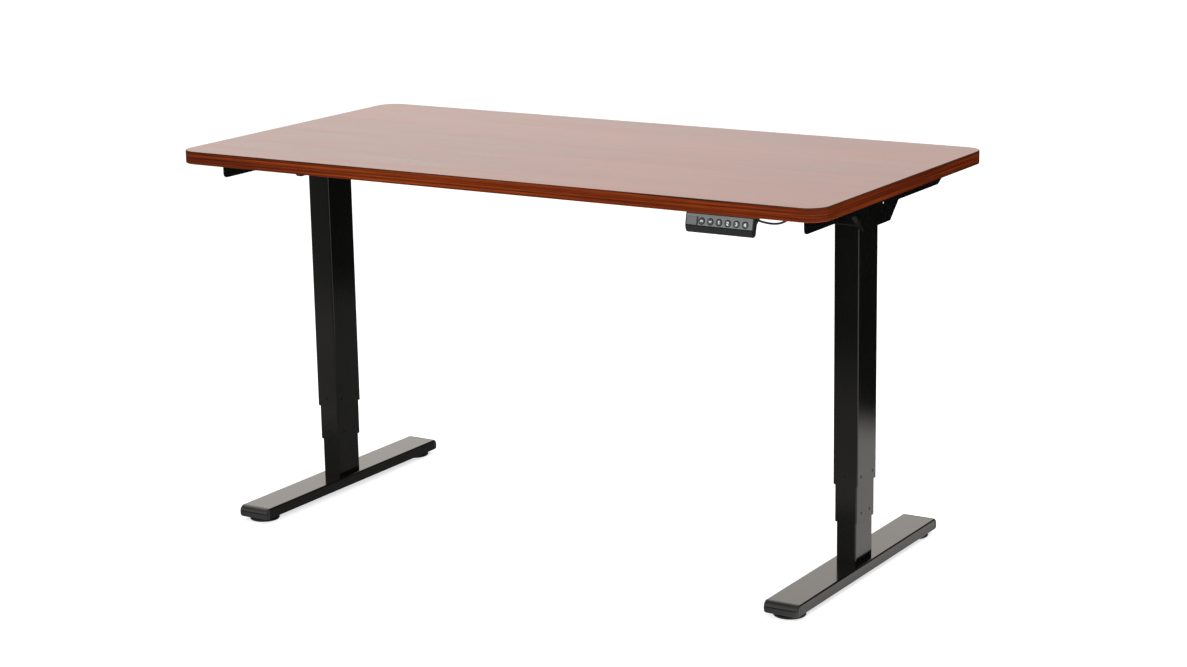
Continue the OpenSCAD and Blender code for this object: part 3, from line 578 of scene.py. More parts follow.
def soften(bm, width, steps=2, sharper_than=35):
    """Round every edge whose faces turn by more than an angle."""
    bmesh.ops.remove_doubles(bm, verts=bm.verts, dist=1e-6)
    bmesh.ops.recalc_face_normals(bm, faces=bm.faces)
    sharp = [e for e in bm.edges if len(e.link_faces) == 2
             and e.calc_face_angle(0) > math.radians(sharper_than)]
    bmesh.ops.bevel(bm, geom=sharp, offset=width, offset_type="OFFSET", segments=steps,
                    profile=0.5, affect="EDGES", clamp_overlap=True)


def stamp(bm, shape, matrix=Matrix()):
    """Add a copy of a small shape at a place."""
    copy = shape.copy()
    copy.transform(matrix)
    mesh = bpy.data.meshes.new("stamp")
    copy.to_mesh(mesh)
    copy.free()
    bm.from_mesh(mesh)
    bpy.data.meshes.remove(mesh)


def steady_normals(made):
    """Let each large flat face keep its own direction where it meets a small rounding."""
    weigh = made.modifiers.new("weigh", "WEIGHTED_NORMAL")
    weigh.weight = 100
    weigh.keep_sharp = True
    bpy.context.view_layer.update()
    better = bpy.data.meshes.new_from_object(made.evaluated_get(bpy.context.evaluated_depsgraph_get()))
    old = made.data
    made.modifiers.clear()
    made.data = better
    bpy.data.meshes.remove(old)
    better.name = made.name


def piece(name, bm, body, material, replaced=(), smooth=40):
    """Make the shape an object of the desk, shaded smooth except over real corners."""
    made = as_object(name, bm)
    made.data.materials.append(material)
    made.data.shade_smooth()
    made.data.set_sharp_from_angle(angle=math.radians(smooth))
    steady_normals(made)
    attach(made, body)
    if replaced:
        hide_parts(*replaced)
    return made


def repaint(node, material):
    """Give a solid of the frame, whose shape is right already, a better finish."""
    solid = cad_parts[node]
    for i in range(len(solid.material_slots)):
        solid.material_slots[i].material = material


SIDES = {"left": -1, "right": 1}
print("cut, soften and piece ready")

# %% [markdown]
# ## The top
# The top is a board with its laminate on the upper face and a plain sheet below. Its edge is
# closed by a two millimetre band that is trimmed flush and rounded over a little. The band's
# outer corners are the round corners of the desk. Board and band are separate pieces here,
# as they are on the bench, because their grain runs differently.

# %% Board and edge band
top_low, top_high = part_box("edge_band")
board_low, board_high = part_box("desktop_panel")
top_size = top_high - top_low
BAND = board_low.x - top_low.x
CORNER = 40 * MM
ARRIS = 1.3 * MM


def outline_of_top(inset):
    return rounded(top_size.x - 2 * inset, top_size.y - 2 * inset, CORNER - inset, steps=14)


def board():
    bm = bmesh.new()
    prism(bm, outline_of_top(BAND), top_low.z, top_high.z, "z")
    made = piece("top_board", bm, "top_frame", MAHOGANY, ["desktop_panel"])
    made.data.materials.append(BACKING)
    for face in made.data.polygons:
        if face.normal.z < -0.5:
            face.material_index = 1


def is_outer(co):
    """Is a point of the band on its outer side? There it lies a full corner radius out."""
    past = (max(abs(co.x) - top_high.x + CORNER, 0), max(abs(co.y) - top_high.y + CORNER, 0))
    return Vector(past).length > CORNER - BAND / 2


def band():
    bm = bmesh.new()
    hollow(bm, outline_of_top(0), outline_of_top(BAND), top_low.z, top_high.z, "z")
    rims = [e for e in bm.edges if all(is_outer(v.co) for v in e.verts)
            and abs(e.verts[0].co.z - e.verts[1].co.z) < 1e-7]
    bmesh.ops.bevel(bm, geom=rims, offset=ARRIS, offset_type="OFFSET", segments=4, profile=0.5,
                    affect="EDGES", clamp_overlap=True)
    piece("edge_strip", bm, "top_frame", EDGE_WOOD, ["edge_band"])


board()
band()
print("top:", [round(v / MM) for v in top_size], "mm, band", round(BAND / MM, 1), "mm")

# %% [markdown]
# ## The side brackets
# Each bracket is a length of angle steel screwed up under the top. Its web hangs down on the
# outside and drops further where the column head sits behind it, with a folded lip round the
# drop to stiffen it. We cut the web from one outline with small corner radii, because that
# is how a laser cuts the blank before it is folded.

# %% Side brackets
PLATE = 2.5 * MM
DROP_HALF = 55 * MM
DROP_RUN = 35 * MM
LIP = 8 * MM
WEB_HOLE = 3.5 * MM
WEB_HOLE_Y = 27 * MM
WEB_HOLE_UP = 4 * MM


def mirrored(bm, side):
    """Turn a right-hand shape into its left-hand twin."""
    if side < 0:
        bmesh.ops.scale(bm, vec=(-1, 1, 1), verts=bm.verts)
        bmesh.ops.reverse_faces(bm, faces=bm.faces)
    return bm


def side_bracket(word, side):
    low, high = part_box("right_side_bracket")
    edge = high.z - 35 * MM
    web = filleted(
        [(low.y, high.z), (low.y, edge), (-DROP_HALF - DROP_RUN, edge), (-DROP_HALF, low.z),
         (DROP_HALF, low.z), (DROP_HALF + DROP_RUN, edge), (high.y - 22 * MM, edge),
         (high.y, edge + 12 * MM), (high.y, high.z)],
        [0, 9 * MM, 5 * MM, 4 * MM, 4 * MM, 5 * MM, 4 * MM, 4 * MM, 0])
    bm = bmesh.new()
    prism(bm, web, high.x - PLATE, high.x, "x")
    holes = bmesh.new()
    for y in (-WEB_HOLE_Y, WEB_HOLE_Y):
        rod(holes, WEB_HOLE, 3 * PLATE, (high.x - 2 * PLATE, y, edge + WEB_HOLE_UP), (1, 0, 0))
    bm = drilled(bm, holes)
    prism(bm, box_outline(low.x, high.z - PLATE, high.x - PLATE, high.z), low.y, high.y, "y")
    lip = [(-DROP_HALF - DROP_RUN + 2 * MM, edge - 2 * MM), (-DROP_HALF, low.z), (DROP_HALF, low.z),
           (DROP_HALF + DROP_RUN - 2 * MM, edge - 2 * MM)]
    inner = [(DROP_HALF + DROP_RUN - 5 * MM, edge - 2 * MM), (DROP_HALF - 1 * MM, low.z + PLATE),
             (-DROP_HALF + 1 * MM, low.z + PLATE), (-DROP_HALF - DROP_RUN + 5 * MM, edge - 2 * MM)]
    prism(bm, filleted(lip + inner, [0, 4 * MM, 4 * MM, 0, 0, 1.5 * MM, 1.5 * MM, 0]),
          high.x - PLATE - LIP, high.x - PLATE, "x")
    soften(bm, 0.35 * MM)
    piece("bracket_" + word, mirrored(bm, side), "top_frame", BLACK_STEEL,
          [word + "_side_bracket"])


for word, sign in SIDES.items():
    side_bracket(word, sign)
print("two side brackets")

# %% [markdown]
# ## Column heads and rails
# A folded U of plate sits on each column and holds its gearbox. Two rails on each side of it
# tie the columns together. The rails are square tubes: a centre piece with a thinner end
# piece pushed into each end, so that one frame fits tops of several lengths.

# %% Column heads
HEAD_BASE = 4 * MM
HEAD_WALL = 3 * MM


def column_head(word, side):
    low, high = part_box("right_column_head")
    fold = [(low.y, low.z), (high.y, low.z), (high.y, high.z), (high.y - HEAD_WALL, high.z),
            (high.y - HEAD_WALL, low.z + HEAD_BASE), (low.y + HEAD_WALL, low.z + HEAD_BASE),
            (low.y + HEAD_WALL, high.z), (low.y, high.z)]
    bm = bmesh.new()
    prism(bm, filleted(fold, [3 * MM, 3 * MM, 0, 0, 1 * MM, 1 * MM, 0, 0]), low.x, high.x, "x")
    soften(bm, 0.4 * MM)
    piece("head_" + word, mirrored(bm, side), "top_frame", BLACK_STEEL,
          [word + "_column_head"])


for word, sign in SIDES.items():
    column_head(word, sign)
print("two column heads")

# %% Rails
RAIL_WALL = 1.5 * MM


def section(bm, width, depth, radius, wall, low, high, axis, middle):
    """A hollow rectangular section with round corners."""
    hollow(bm, rounded(width, depth, radius, 5, middle),
           rounded(width - 2 * wall, depth - 2 * wall, max(radius - wall, 0.2 * MM), 5, middle),
           low, high, axis)


def islands(node):
    """The separate solids of a group of the frame, each as a list of its points."""
    bm = bmesh.new()
    bm.from_mesh(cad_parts[node].data)
    bmesh.ops.remove_doubles(bm, verts=bm.verts, dist=1e-6)
    found, seen = [], set()
    for start in bm.verts:
        if start in seen:
            continue
        seen.add(start)
        group, edge = [start], [start]
        while edge:
            for e in edge.pop().link_edges:
                for v in e.verts:
                    if v not in seen:
                        seen.add(v)
                        group.append(v)
                        edge.append(v)
        found.append([v.co.copy() for v in group])
    bm.free()
    return found


def extent(points):
    """The lowest and highest corner of a list of points."""
    low = Vector([min(p[i] for p in points) for i in range(3)])
    high = Vector([max(p[i] for p in points) for i in range(3)])
    return low, high


def rails(name, nodes, corner):
    bm = bmesh.new()
    count = 0
    for node in nodes:
        for points in islands(node):
            low, high = extent(points)
            middle = ((low.y + high.y) / 2, (low.z + high.z) / 2)
            section(bm, high.y - low.y, high.z - low.z, corner, RAIL_WALL, low.x, high.x, "x", middle)
            count += 1
    soften(bm, 0.3 * MM)
    piece(name, bm, "top_frame", BLACK_STEEL, nodes)
    return count


made = rails("front_centre_rail", ["front_rail"], 2 * MM)
made += rails("rear_centre_rail", ["rear_rail"], 2 * MM)
made += rails("sliding_rail_ends", ["rail_ends"], 1.8 * MM)
print(made, "rails")

# %% [markdown]
# ## The columns
# Each column is three rectangular tubes, the thickest on top. The outer and middle tubes
# carry plastic guide liners whose round pegs snap into holes near the tube's lower end, one
# in the middle of the front and back and two on each side. The holes are cut for real, and
# the pegs of the frame's own liners fill them, so they shift with the tube as it telescopes.

# %% Tubes
TUBE_CORNER = 3 * MM
TUBE_WALL = 1.5 * MM
PEG_HOLE = 2.7 * MM
PEG_UP = 16.5 * MM
OUTER_PEG_Y = 24 * MM
MID_PEG_Y = 17 * MM


def peg_holes(low, high, peg_y):
    """Cutters for the six peg holes near the lower end of a tube."""
    tool = bmesh.new()
    middle = (low + high) / 2
    z = low.z + PEG_UP
    deep = 2 * TUBE_WALL
    for y, way in ((low.y - deep, 1), (high.y + deep, -1)):
        rod(tool, PEG_HOLE, 2 * deep, (middle.x, y, z), (0, way, 0))
    for x, way in ((low.x - deep, 1), (high.x + deep, -1)):
        for y in (-peg_y, peg_y):
            rod(tool, PEG_HOLE, 2 * deep, (x, y, z), (way, 0, 0))
    return tool


def stage_tube(name, node, body, peg_y=0):
    low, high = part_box(node)
    middle = (low + high) / 2
    bm = bmesh.new()
    section(bm, high.x - low.x, high.y - low.y, TUBE_CORNER, TUBE_WALL, low.z, high.z, "z",
            (middle.x, middle.y))
    if peg_y:
        bm = drilled(bm, peg_holes(low, high, peg_y))
    soften(bm, 0.25 * MM)
    piece(name, bm, body, BLACK_STEEL, [node])


for word in SIDES:
    stage_tube("outer_stage_" + word, word + "_outer_tube", "top_frame", OUTER_PEG_Y)
    stage_tube("middle_stage_" + word, word + "_mid_tube", word + "_mid_stage", MID_PEG_Y)
    stage_tube("inner_stage_" + word, word + "_inner_tube", "base")
    repaint(word + "_mid_liner", LINER)
    repaint(word + "_mid_nut", ACETAL)
    repaint(word + "_upper_screw", GROUND)
    repaint(word + "_lower_screw", GROUND)
repaint("outer_tube_liners", LINER)
repaint("base_nuts", ACETAL)
repaint("base_blocks", CAST)
print("six tubes, liners, nuts and lead screws")

# %% [markdown]
# ## The feet
# A foot is a flat steel tube with rounded long edges. Plastic caps close its ends: each has
# a soft rounded nose, round upright corners and a thin shadow groove where it meets the
# steel. Under each end a round glide screws in and out to level the desk.

# %% Foot beams
BEAM_CORNER = 3 * MM
BEAM_WALL = 2 * MM
ACCESS = 9 * MM
INSERT = 6.6 * MM
BOLT_X = 11 * MM
BOLT_Y = 19 * MM


def foot_beam(word, side):
    low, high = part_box("right_foot_beam")
    glide_low, glide_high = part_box("rear_right_glide")
    middle = (low + high) / 2
    glide_y = (glide_low.y + glide_high.y) / 2
    bm = bmesh.new()
    section(bm, high.x - low.x, high.z - low.z, BEAM_CORNER, BEAM_WALL, low.y, high.y, "y",
            (middle.x, middle.z))
    tool = bmesh.new()
    spots = [(middle.x + x, y, ACCESS) for x in (-BOLT_X, BOLT_X) for y in (-BOLT_Y, BOLT_Y)]
    spots += [(middle.x, y, INSERT) for y in (-glide_y, glide_y)]
    for x, y, radius in spots:
        rod(tool, radius, 6 * MM, (x, y, low.z - 2 * MM), steps=24)
    bm = drilled(bm, tool)
    soften(bm, 0.3 * MM)
    piece("beam_" + word, mirrored(bm, side), "base", BLACK_STEEL,
          [word + "_foot_beam"])


for word, sign in SIDES.items():
    foot_beam(word, sign)
print("two foot beams")

# %% End caps
CAP_UPRIGHT = 7 * MM
GROOVE = 0.8 * MM
# Up the nose: height as a part of the beam's, reach as a part of the cap's length
NOSE = [(0.0, 0.60), (0.02, 0.76), (0.06, 0.86), (0.13, 0.92), (0.24, 0.955), (0.38, 0.985), (0.50, 0.998),
        (0.53, 0.998), (0.55, 0.84), (0.60, 0.84), (0.62, 0.96), (0.66, 0.945), (0.74, 0.88), (0.82, 0.78),
        (0.90, 0.63), (0.96, 0.44), (0.99, 0.26), (1.0, 0.12)]


def end_cap(bm, beam_low, beam_high, end_y):
    """One cap on the beam's end nearest to end_y: a nose in rings, behind a narrow neck."""
    start = beam_high.y if end_y > 0 else beam_low.y
    middle = (beam_low + beam_high) / 2
    half = (beam_high.x - beam_low.x) / 2
    near = start + GROOVE * (1 if end_y > 0 else -1)
    height = beam_high.z - beam_low.z
    rings = []
    for up, reach in NOSE:
        far = start + (end_y - start) * reach
        edge = min(up, 1 - up, BEAM_CORNER / height) * height
        side = half - BEAM_CORNER + math.sqrt(edge * (2 * BEAM_CORNER - edge))
        radius = min(CAP_UPRIGHT, abs(far - near) * 0.9)
        outline = filleted([(middle.x - side, near), (middle.x + side, near), (middle.x + side, far),
                            (middle.x - side, far)], [0, 0, radius, radius], 7)
        rings.append([bm.verts.new((x, y, beam_low.z + up * height)) for x, y in outline])
    skin(bm, rings)
    neck = rounded(2 * (half - GROOVE), height - 2 * GROOVE, BEAM_CORNER, 5, (middle.x, middle.z))
    prism(bm, neck, min(start, near), max(start, near), "y")


def end_caps():
    cap_low, cap_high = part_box("foot_end_caps")
    bm = bmesh.new()
    for word in SIDES:
        low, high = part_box(word + "_foot_beam")
        for end_y in (cap_low.y, cap_high.y):
            end_cap(bm, low, high, end_y)
    piece("end_caps", bm, "base", CAP_PLASTIC, ["foot_end_caps"], smooth=50)


end_caps()
print("four end caps")

# %% Levelling glides
def glide(end, word):
    node = end + "_" + word + "_glide"
    low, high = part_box(node)
    middle = (low + high) / 2
    r = (high.x - low.x) / 2
    pad = 8.7 * MM
    stud = 4 * MM
    bm = bmesh.new()
    turned(bm, [
        (0, 0), (r - 3 * MM, 0), (r - 1.2 * MM, 0.3 * MM), (r - 0.2 * MM, 1.4 * MM), (r, 2.6 * MM),
        (r - 0.3 * MM, 4.2 * MM), (r - 1.4 * MM, 5.4 * MM), (r - 4 * MM, 6.2 * MM), (r - 12 * MM, 7.2 * MM),
        (11 * MM, 7.6 * MM), (10 * MM, pad), (stud, pad),
    ] + [(stud - (k % 2) * 0.45 * MM, pad + (k + 1) * 0.6 * MM) for k in range(26)]
        + [(stud - 1 * MM, high.z), (0, high.z)], (middle.x, middle.y, low.z), steps=56)
    piece("glide_" + end + "_" + word, bm, end + "_" + word + "_foot_glide", RUBBER,
          [node], smooth=50)


for end in ("front", "rear"):
    for word in SIDES:
        glide(end, word)
repaint("glide_inserts", ZINC)
print("four levelling glides")

# %% [markdown]
# ## The drives
# A direct current motor lies against each gearbox. Its can is a drawn steel cup with two
# rolled beads and an end bell where the cable comes out. The gearbox is die cast and stays
# as the frame has it, with its cast finish.

# %% Motors
def motor(word, side):
    low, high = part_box("right_motor")
    r = (high.z - low.z) / 2
    length = high.x - low.x
    neck = r - 5 * MM
    bm = bmesh.new()
    turned(bm, [
        (0, 0), (r - 2.4 * MM, 0), (r - 2.4 * MM, 5 * MM), (r - 1 * MM, 5.4 * MM), (r - 0.6 * MM, 6 * MM),
        (r - 0.6 * MM, 14 * MM), (r, 15 * MM), (r, 17 * MM), (r - 0.6 * MM, 18 * MM),
        (r - 0.6 * MM, 78 * MM), (r, 79 * MM), (r, 81 * MM), (r - 0.6 * MM, 82 * MM),
        (r - 0.6 * MM, 92 * MM), (r - 1.6 * MM, 92.4 * MM), (r - 1.6 * MM, 94 * MM), (r - 0.6 * MM, 94.4 * MM),
        (r - 0.6 * MM, 105 * MM), (r - 1.4 * MM, 107 * MM), (r - 3.4 * MM, 108 * MM), (neck, 108 * MM),
        (neck, 114 * MM), (neck - 1 * MM, 116.6 * MM), (neck - 4 * MM, length),
        (3.4 * MM, length), (3.4 * MM, length - 8 * MM), (0, length - 8 * MM),
    ], (high.x, 0, (low.z + high.z) / 2), (-1, 0, 0), 48)
    piece("motor_" + word, mirrored(bm, side), "top_frame", MOTOR_PAINT, [word + "_motor"])


for word, sign in SIDES.items():
    motor(word, sign)
    repaint(word + "_gearbox", CAST)
print("two motors")

# %% [markdown]
# ## The control box
# The electronics sit in a moulded tray under a lid that is screwed to the top by four ears.
# The tray's long sides have cooling slots and its edges have the generous radii that let a
# moulding leave its tool. The mains inlet is let into the left end and the three cables go
# in through round holes.

# %% Control box
SCREW_HOLE = 2.15 * MM


def control_box():
    low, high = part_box("control_box_tray")
    wall = 2.5 * MM
    middle = (low + high) / 2
    size = high - low
    bm = bmesh.new()
    prism(bm, rounded(size.x, size.y, 5 * MM, 6, (middle.x, middle.y)), low.z, high.z, "z")
    soften(bm, 1.2 * MM, 3)
    pocket = bmesh.new()
    prism(pocket, rounded(size.x - 2 * wall, size.y - 2 * wall, 3 * MM, 6, (middle.x, middle.y)),
          low.z + wall, high.z + wall, "z")
    bm = drilled(bm, pocket)
    inlet_low, inlet_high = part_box("power_inlet")
    holes = bmesh.new()
    prism(holes, box_outline(inlet_low.y, inlet_low.z, inlet_high.y, inlet_high.z),
          low.x - wall, low.x + 2 * wall, "x")
    cable_z = low.z + 14 * MM
    for x, y, radius in ((low.x, -20 * MM, 3.4 * MM), (high.x, -20 * MM, 2.4 * MM), (high.x, 0, 3.4 * MM)):
        rod(holes, radius, 12 * MM, (x - 6 * MM, y, cable_z), (1, 0, 0), 24)
    for k in range(-8, 9):
        slot = rounded(3 * MM, 16 * MM, 1.4 * MM, 4, (k * 8 * MM, high.z - 15 * MM))
        for y in (low.y, high.y):
            prism(holes, slot, y - 2 * wall, y + 2 * wall, "y")
    bm = drilled(bm, holes)
    piece("box_tray", bm, "top_frame", BOX_PLASTIC, ["control_box_tray"], smooth=30)


def box_lid():
    low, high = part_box("control_box_lid")
    tray_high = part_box("control_box_tray")[1]
    ear_y = 30 * MM
    half_ear = 8 * MM
    side, front = tray_high.x, tray_high.y
    right = box_outline(side, ear_y - half_ear, high.x, ear_y + half_ear)
    ring = []
    for sx, sy, turn in ((1, 1, 1), (-1, 1, -1), (-1, -1, 1), (1, -1, -1)):
        corner = [(x * sx, y * sy) for x, y in right] + [(side * sx, front * sy)]
        ring += corner[::turn]
    radii = []
    for turn in (1, -1, 1, -1):
        radii += [1.5 * MM, 6 * MM, 6 * MM, 1.5 * MM, 2 * MM][::turn]
    bm = bmesh.new()
    prism(bm, filleted(ring, radii), low.z, high.z, "z")
    holes = bmesh.new()
    for x in (-1, 1):
        for y in (-ear_y, ear_y):
            rod(holes, SCREW_HOLE, 9 * MM, (x * (side + half_ear), y, low.z - 3 * MM))
    bm = drilled(bm, holes)
    soften(bm, 0.4 * MM)
    piece("box_lid", bm, "top_frame", BOX_PLASTIC, ["control_box_lid"], smooth=30)


control_box()
box_lid()
repaint("power_inlet", BOX_PLASTIC)
repaint("control_board", BOARD)
print("control box with its lid")

# %% [markdown]
# ## The handset
# The handset hangs below the front edge with its face tilted up a little. Its shell and the
# gloss black chin are one curved outline pushed along the desk, with their corners rounded.
# A satin cover closes the face and has a window at the left and six round holes for the
# keys. We use the same outline for all three, so that they meet in fine even lines.

# %% Handset
case_low, case_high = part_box("handset_case")
fascia_low, fascia_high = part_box("handset_fascia")
cover_low, cover_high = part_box("handset_cover")
FACE_Y, FRAME_TOP = fascia_low.y, case_high.z
CHIN_Z = fascia_high.z
FACE_H = FRAME_TOP - CHIN_Z
FACE_RUN = 5.5 * MM
HANDSET_H = 37 * MM
CABLE_START = (560 * MM, -330 * MM, 727 * MM)
LEAN = math.atan(FACE_RUN / FACE_H)
SHELL_WALL = 2 * MM
SEAM = 0.12 * MM
HANDSET_X = (fascia_low.x + fascia_high.x) / 2


def face_y(z):
    """Where the sloping face lies at a height."""
    return FACE_Y + FACE_RUN * (z - CHIN_Z) / FACE_H


def handset_profile():
    """The handset from its side, as (y, z), from the top of the face down and round."""
    return [(face_y(FRAME_TOP), FRAME_TOP), (FACE_Y, CHIN_Z), (FACE_Y + 3 * MM, FRAME_TOP - 34.5 * MM),
            (FACE_Y + 8.5 * MM, FRAME_TOP - HANDSET_H), (FACE_Y + 15 * MM, FRAME_TOP - 14 * MM),
            (FACE_Y + 34 * MM, FRAME_TOP)]


PROFILE_RADII = [0, 0, 2.2 * MM, 2.6 * MM, 5 * MM, 0]


def bar(low, high):
    """A cutter that fills a box."""
    bm = bmesh.new()
    prism(bm, box_outline(low[0], low[1], high[0], high[1]), low[2], high[2], "z")
    return bm


def inset_profile(depth):
    """The same outline, moved inwards by a depth."""
    points = [Vector(p) for p in handset_profile()]
    count = len(points)
    moved = []
    for i in range(count):
        a, b, c = points[i - 1], points[i], points[(i + 1) % count]
        n1 = (b - a).orthogonal().normalized()
        n2 = (c - b).orthogonal().normalized()
        both = (n1 + n2) / 2
        moved.append(tuple(b + both * (depth / both.length_squared)))
    return moved


def front_outline():
    """A cutter that rounds the handset's two lower corners, seen from the front."""
    bm = bmesh.new()
    corners = box_outline(fascia_low.x, FRAME_TOP - HANDSET_H, fascia_high.x, FRAME_TOP + 1 * MM)
    prism(bm, filleted(corners, [6 * MM, 6 * MM, 0, 0], 7), FACE_Y - 20 * MM, FACE_Y + 60 * MM, "y")
    return bm


def solid_outline(past=0):
    """The outline pushed along the handset, and past its ends."""
    bm = bmesh.new()
    outline = filleted(handset_profile(), PROFILE_RADII)
    prism(bm, outline, fascia_low.x - past, fascia_high.x + past, "x")
    return bm


def core(past):
    """What lies inside the walls, along the handset and past its ends."""
    bm = bmesh.new()
    prism(bm, inset_profile(SHELL_WALL), fascia_low.x - past, fascia_high.x + past, "x")
    return bm


def all_above(z):
    """A cutter for everything above a height."""
    return bar((fascia_low.x - 5 * MM, FACE_Y - 20 * MM, z),
               (fascia_high.x + 5 * MM, FACE_Y + 60 * MM, FRAME_TOP + 20 * MM))


def shell():
    bm = drilled(solid_outline(), front_outline(), "INTERSECT")
    bm = drilled(bm, core(-SHELL_WALL))
    reach = 11 * MM
    bm = drilled(bm, bar((fascia_low.x + SHELL_WALL, FACE_Y - reach, CHIN_Z - 60 * MM),
                         (fascia_high.x - SHELL_WALL, FACE_Y + reach - 1 * MM, FRAME_TOP - 2 * MM)))
    chin_room = drilled(solid_outline(1 * MM), core(2 * MM))
    bm = drilled(bm, drilled(chin_room, all_above(CHIN_Z)))
    exit_hole = bmesh.new()
    rod(exit_hole, 2.4 * MM, 20 * MM, CABLE_START, (0, 1, 0), 24)
    bm = drilled(bm, exit_hole)
    soften(bm, 0.3 * MM)
    piece("handset_shell", bm, "top_frame", SHELL, ["handset_case"], smooth=35)


def wings():
    """The two screw ears, one on each side of the shell."""
    bm = bmesh.new()
    low, high = case_low, case_high
    front, back = FACE_Y + 17 * MM, FACE_Y + 43 * MM
    for side, edge, tip in ((-1, fascia_low.x, low.x), (1, fascia_high.x, high.x)):
        ear = bmesh.new()
        root = edge - side * 0.2 * MM
        outline = filleted([(root, front), (tip, front), (tip, back), (root, back)],
                           [0, 4 * MM, 4 * MM, 0])
        prism(ear, outline, high.z - 3 * MM, high.z, "z")
        hole = bmesh.new()
        rod(hole, SCREW_HOLE, 9 * MM, ((edge + tip) / 2, (front + back) / 2, high.z - 6 * MM))
        ear = drilled(ear, hole)
        soften(ear, 0.4 * MM)
        stamp(bm, ear)
        ear.free()
    piece("handset_ears", bm, "top_frame", SHELL, ["handset_case"], smooth=35)


def chin():
    bm = bmesh.new()
    outline = filleted(handset_profile(), PROFILE_RADII, 6)
    prism(bm, outline, fascia_low.x, fascia_high.x, "x")
    bm = drilled(bm, front_outline(), "INTERSECT")
    bm = drilled(bm, core(2 * MM))
    bm = drilled(bm, all_above(CHIN_Z - SEAM))
    soften(bm, 0.35 * MM, 3)
    piece("handset_chin", bm, "top_frame", FASCIA, ["handset_fascia"], smooth=35)


shell()
wings()
chin()
print("handset shell, ears and chin")

# %% Cover and window
BUTTON_Z = FRAME_TOP - 14 * MM
KEY_XS = [HANDSET_X + (k * 17 - 34.5) * MM for k in range(6)]
WINDOW_X = HANDSET_X - 52.5 * MM
KEY_HOLE_RADIUS = 6.5 * MM


def onto_face(bm):
    """Lay a shape drawn in (along, inwards, up the face) on the sloping face."""
    for v in bm.verts:
        x, deep, up = v.co
        v.co = (x, face_y(BUTTON_Z) + up * math.sin(LEAN) + deep * math.cos(LEAN),
                BUTTON_Z + up * math.cos(LEAN) - deep * math.sin(LEAN))
    return bm


def cover():
    low, high = cover_low, cover_high
    down, up = -7.7 * MM, 11.9 * MM
    outline = rounded(high.x - low.x - 2 * SEAM, up - down, 1 * MM, 4, (HANDSET_X, (up + down) / 2))
    bm = bmesh.new()
    prism(bm, outline, 0, SHELL_WALL, "y")
    holes = bmesh.new()
    for x in KEY_XS:
        rod(holes, KEY_HOLE_RADIUS, 8 * MM, (x, -3 * MM, 0), (0, 1, 0), 40)
    prism(holes, rounded(22.4 * MM, 14.4 * MM, 0.8 * MM, 4, (WINDOW_X, 0)), -3 * MM, 5 * MM, "y")
    bm = drilled(bm, holes)
    soften(bm, 0.22 * MM)
    piece("face_cover", onto_face(bm), "top_frame", COVER, ["handset_cover"], smooth=35)


def gap_shade_rings():
    """A dark ring round each key, let into the cover, in the shell's dark plastic. It paints the shade of the
    gap between key and cover.
    """
    bm = bmesh.new()
    inner, outer = 5.1 * MM, KEY_HOLE_RADIUS - 0.05 * MM
    ring = [(inner, SHELL_WALL), (inner, 0.3 * MM), (inner + 0.3 * MM, 0), (outer - 0.3 * MM, -0.12 * MM),
            (outer, 0.1 * MM), (outer, SHELL_WALL), (inner, SHELL_WALL)]
    for x in KEY_XS:
        turned(bm, ring, (x, 0, 0), (0, 1, 0), 44)
    piece("key_gap_shade_rings", onto_face(bm), "top_frame", SHELL, ["handset_cover"], smooth=50)


def window():
    """A grey pane with a black strip at its right edge."""
    panes = (("window_pane", -11, 7.4, WINDOW), ("window_strip", 7.6, 11, FASCIA))
    for name, left, right, material in panes:
        bm = bmesh.new()
        middle = WINDOW_X + (left + right) / 2 * MM
        outline = rounded((right - left) * MM, 14 * MM, 0.5 * MM, 4, (middle, 0))
        prism(bm, outline, 0.15 * MM, SHELL_WALL, "y")
        soften(bm, 0.12 * MM)
        piece(name, onto_face(bm), "top_frame", material, ["display_window"], smooth=35)


cover()
gap_shade_rings()
window()
repaint("handset_board", BOARD)
print("cover and window")

# %% [markdown]
# ## The keys
# Six round keys come out through the cover: up, down and four presets. Each is a slightly
# domed cap over a wider flange that the cover holds back. The marks are strokes of a constant
# width, printed on the caps. They are plain arrows and the numbers one to four. Each key is
# its own piece, because each moves on its own spring.

# %% Keys
STROKE = 1.25 * MM
MARK_SIZE = 1.35 * MM
KEY_TOP = 4.2 * MM
KEY_BASE = 3.3 * MM  # how far behind the face a key's flange starts
ARROW = [[(-1.7, -0.75), (0, 0.95), (1.7, -0.75)]]
FIGURES = {
    "up_button": ("up_key", ARROW),
    "down_button": ("down_key", [[(x, -y) for x, y in ARROW[0]]]),
    "preset_1_button": ("preset_1_key", [[(-0.8, 1.1), (0.2, 2), (0.2, -2)]]),
    "preset_2_button": ("preset_2_key", [[
        (-1.15, 1.1), (-0.8, 1.8), (0, 2.05), (0.8, 1.8), (1.15, 1.1), (0.9, 0.4), (-1.25, -2), (1.3, -2)]]),
    "preset_3_button": ("preset_3_key", [[
        (-1.1, 1.5), (-0.5, 2), (0.5, 2), (1.05, 1.3), (0.8, 0.45), (0, 0.15), (0.9, -0.2), (1.2, -1.1),
        (0.6, -1.85), (-0.4, -2.05), (-1.2, -1.5)]]),
    "preset_4_button": ("preset_4_key", [[(0.7, -2.1), (0.7, 2.1), (-1.4, -0.8), (1.5, -0.8)]]),
}


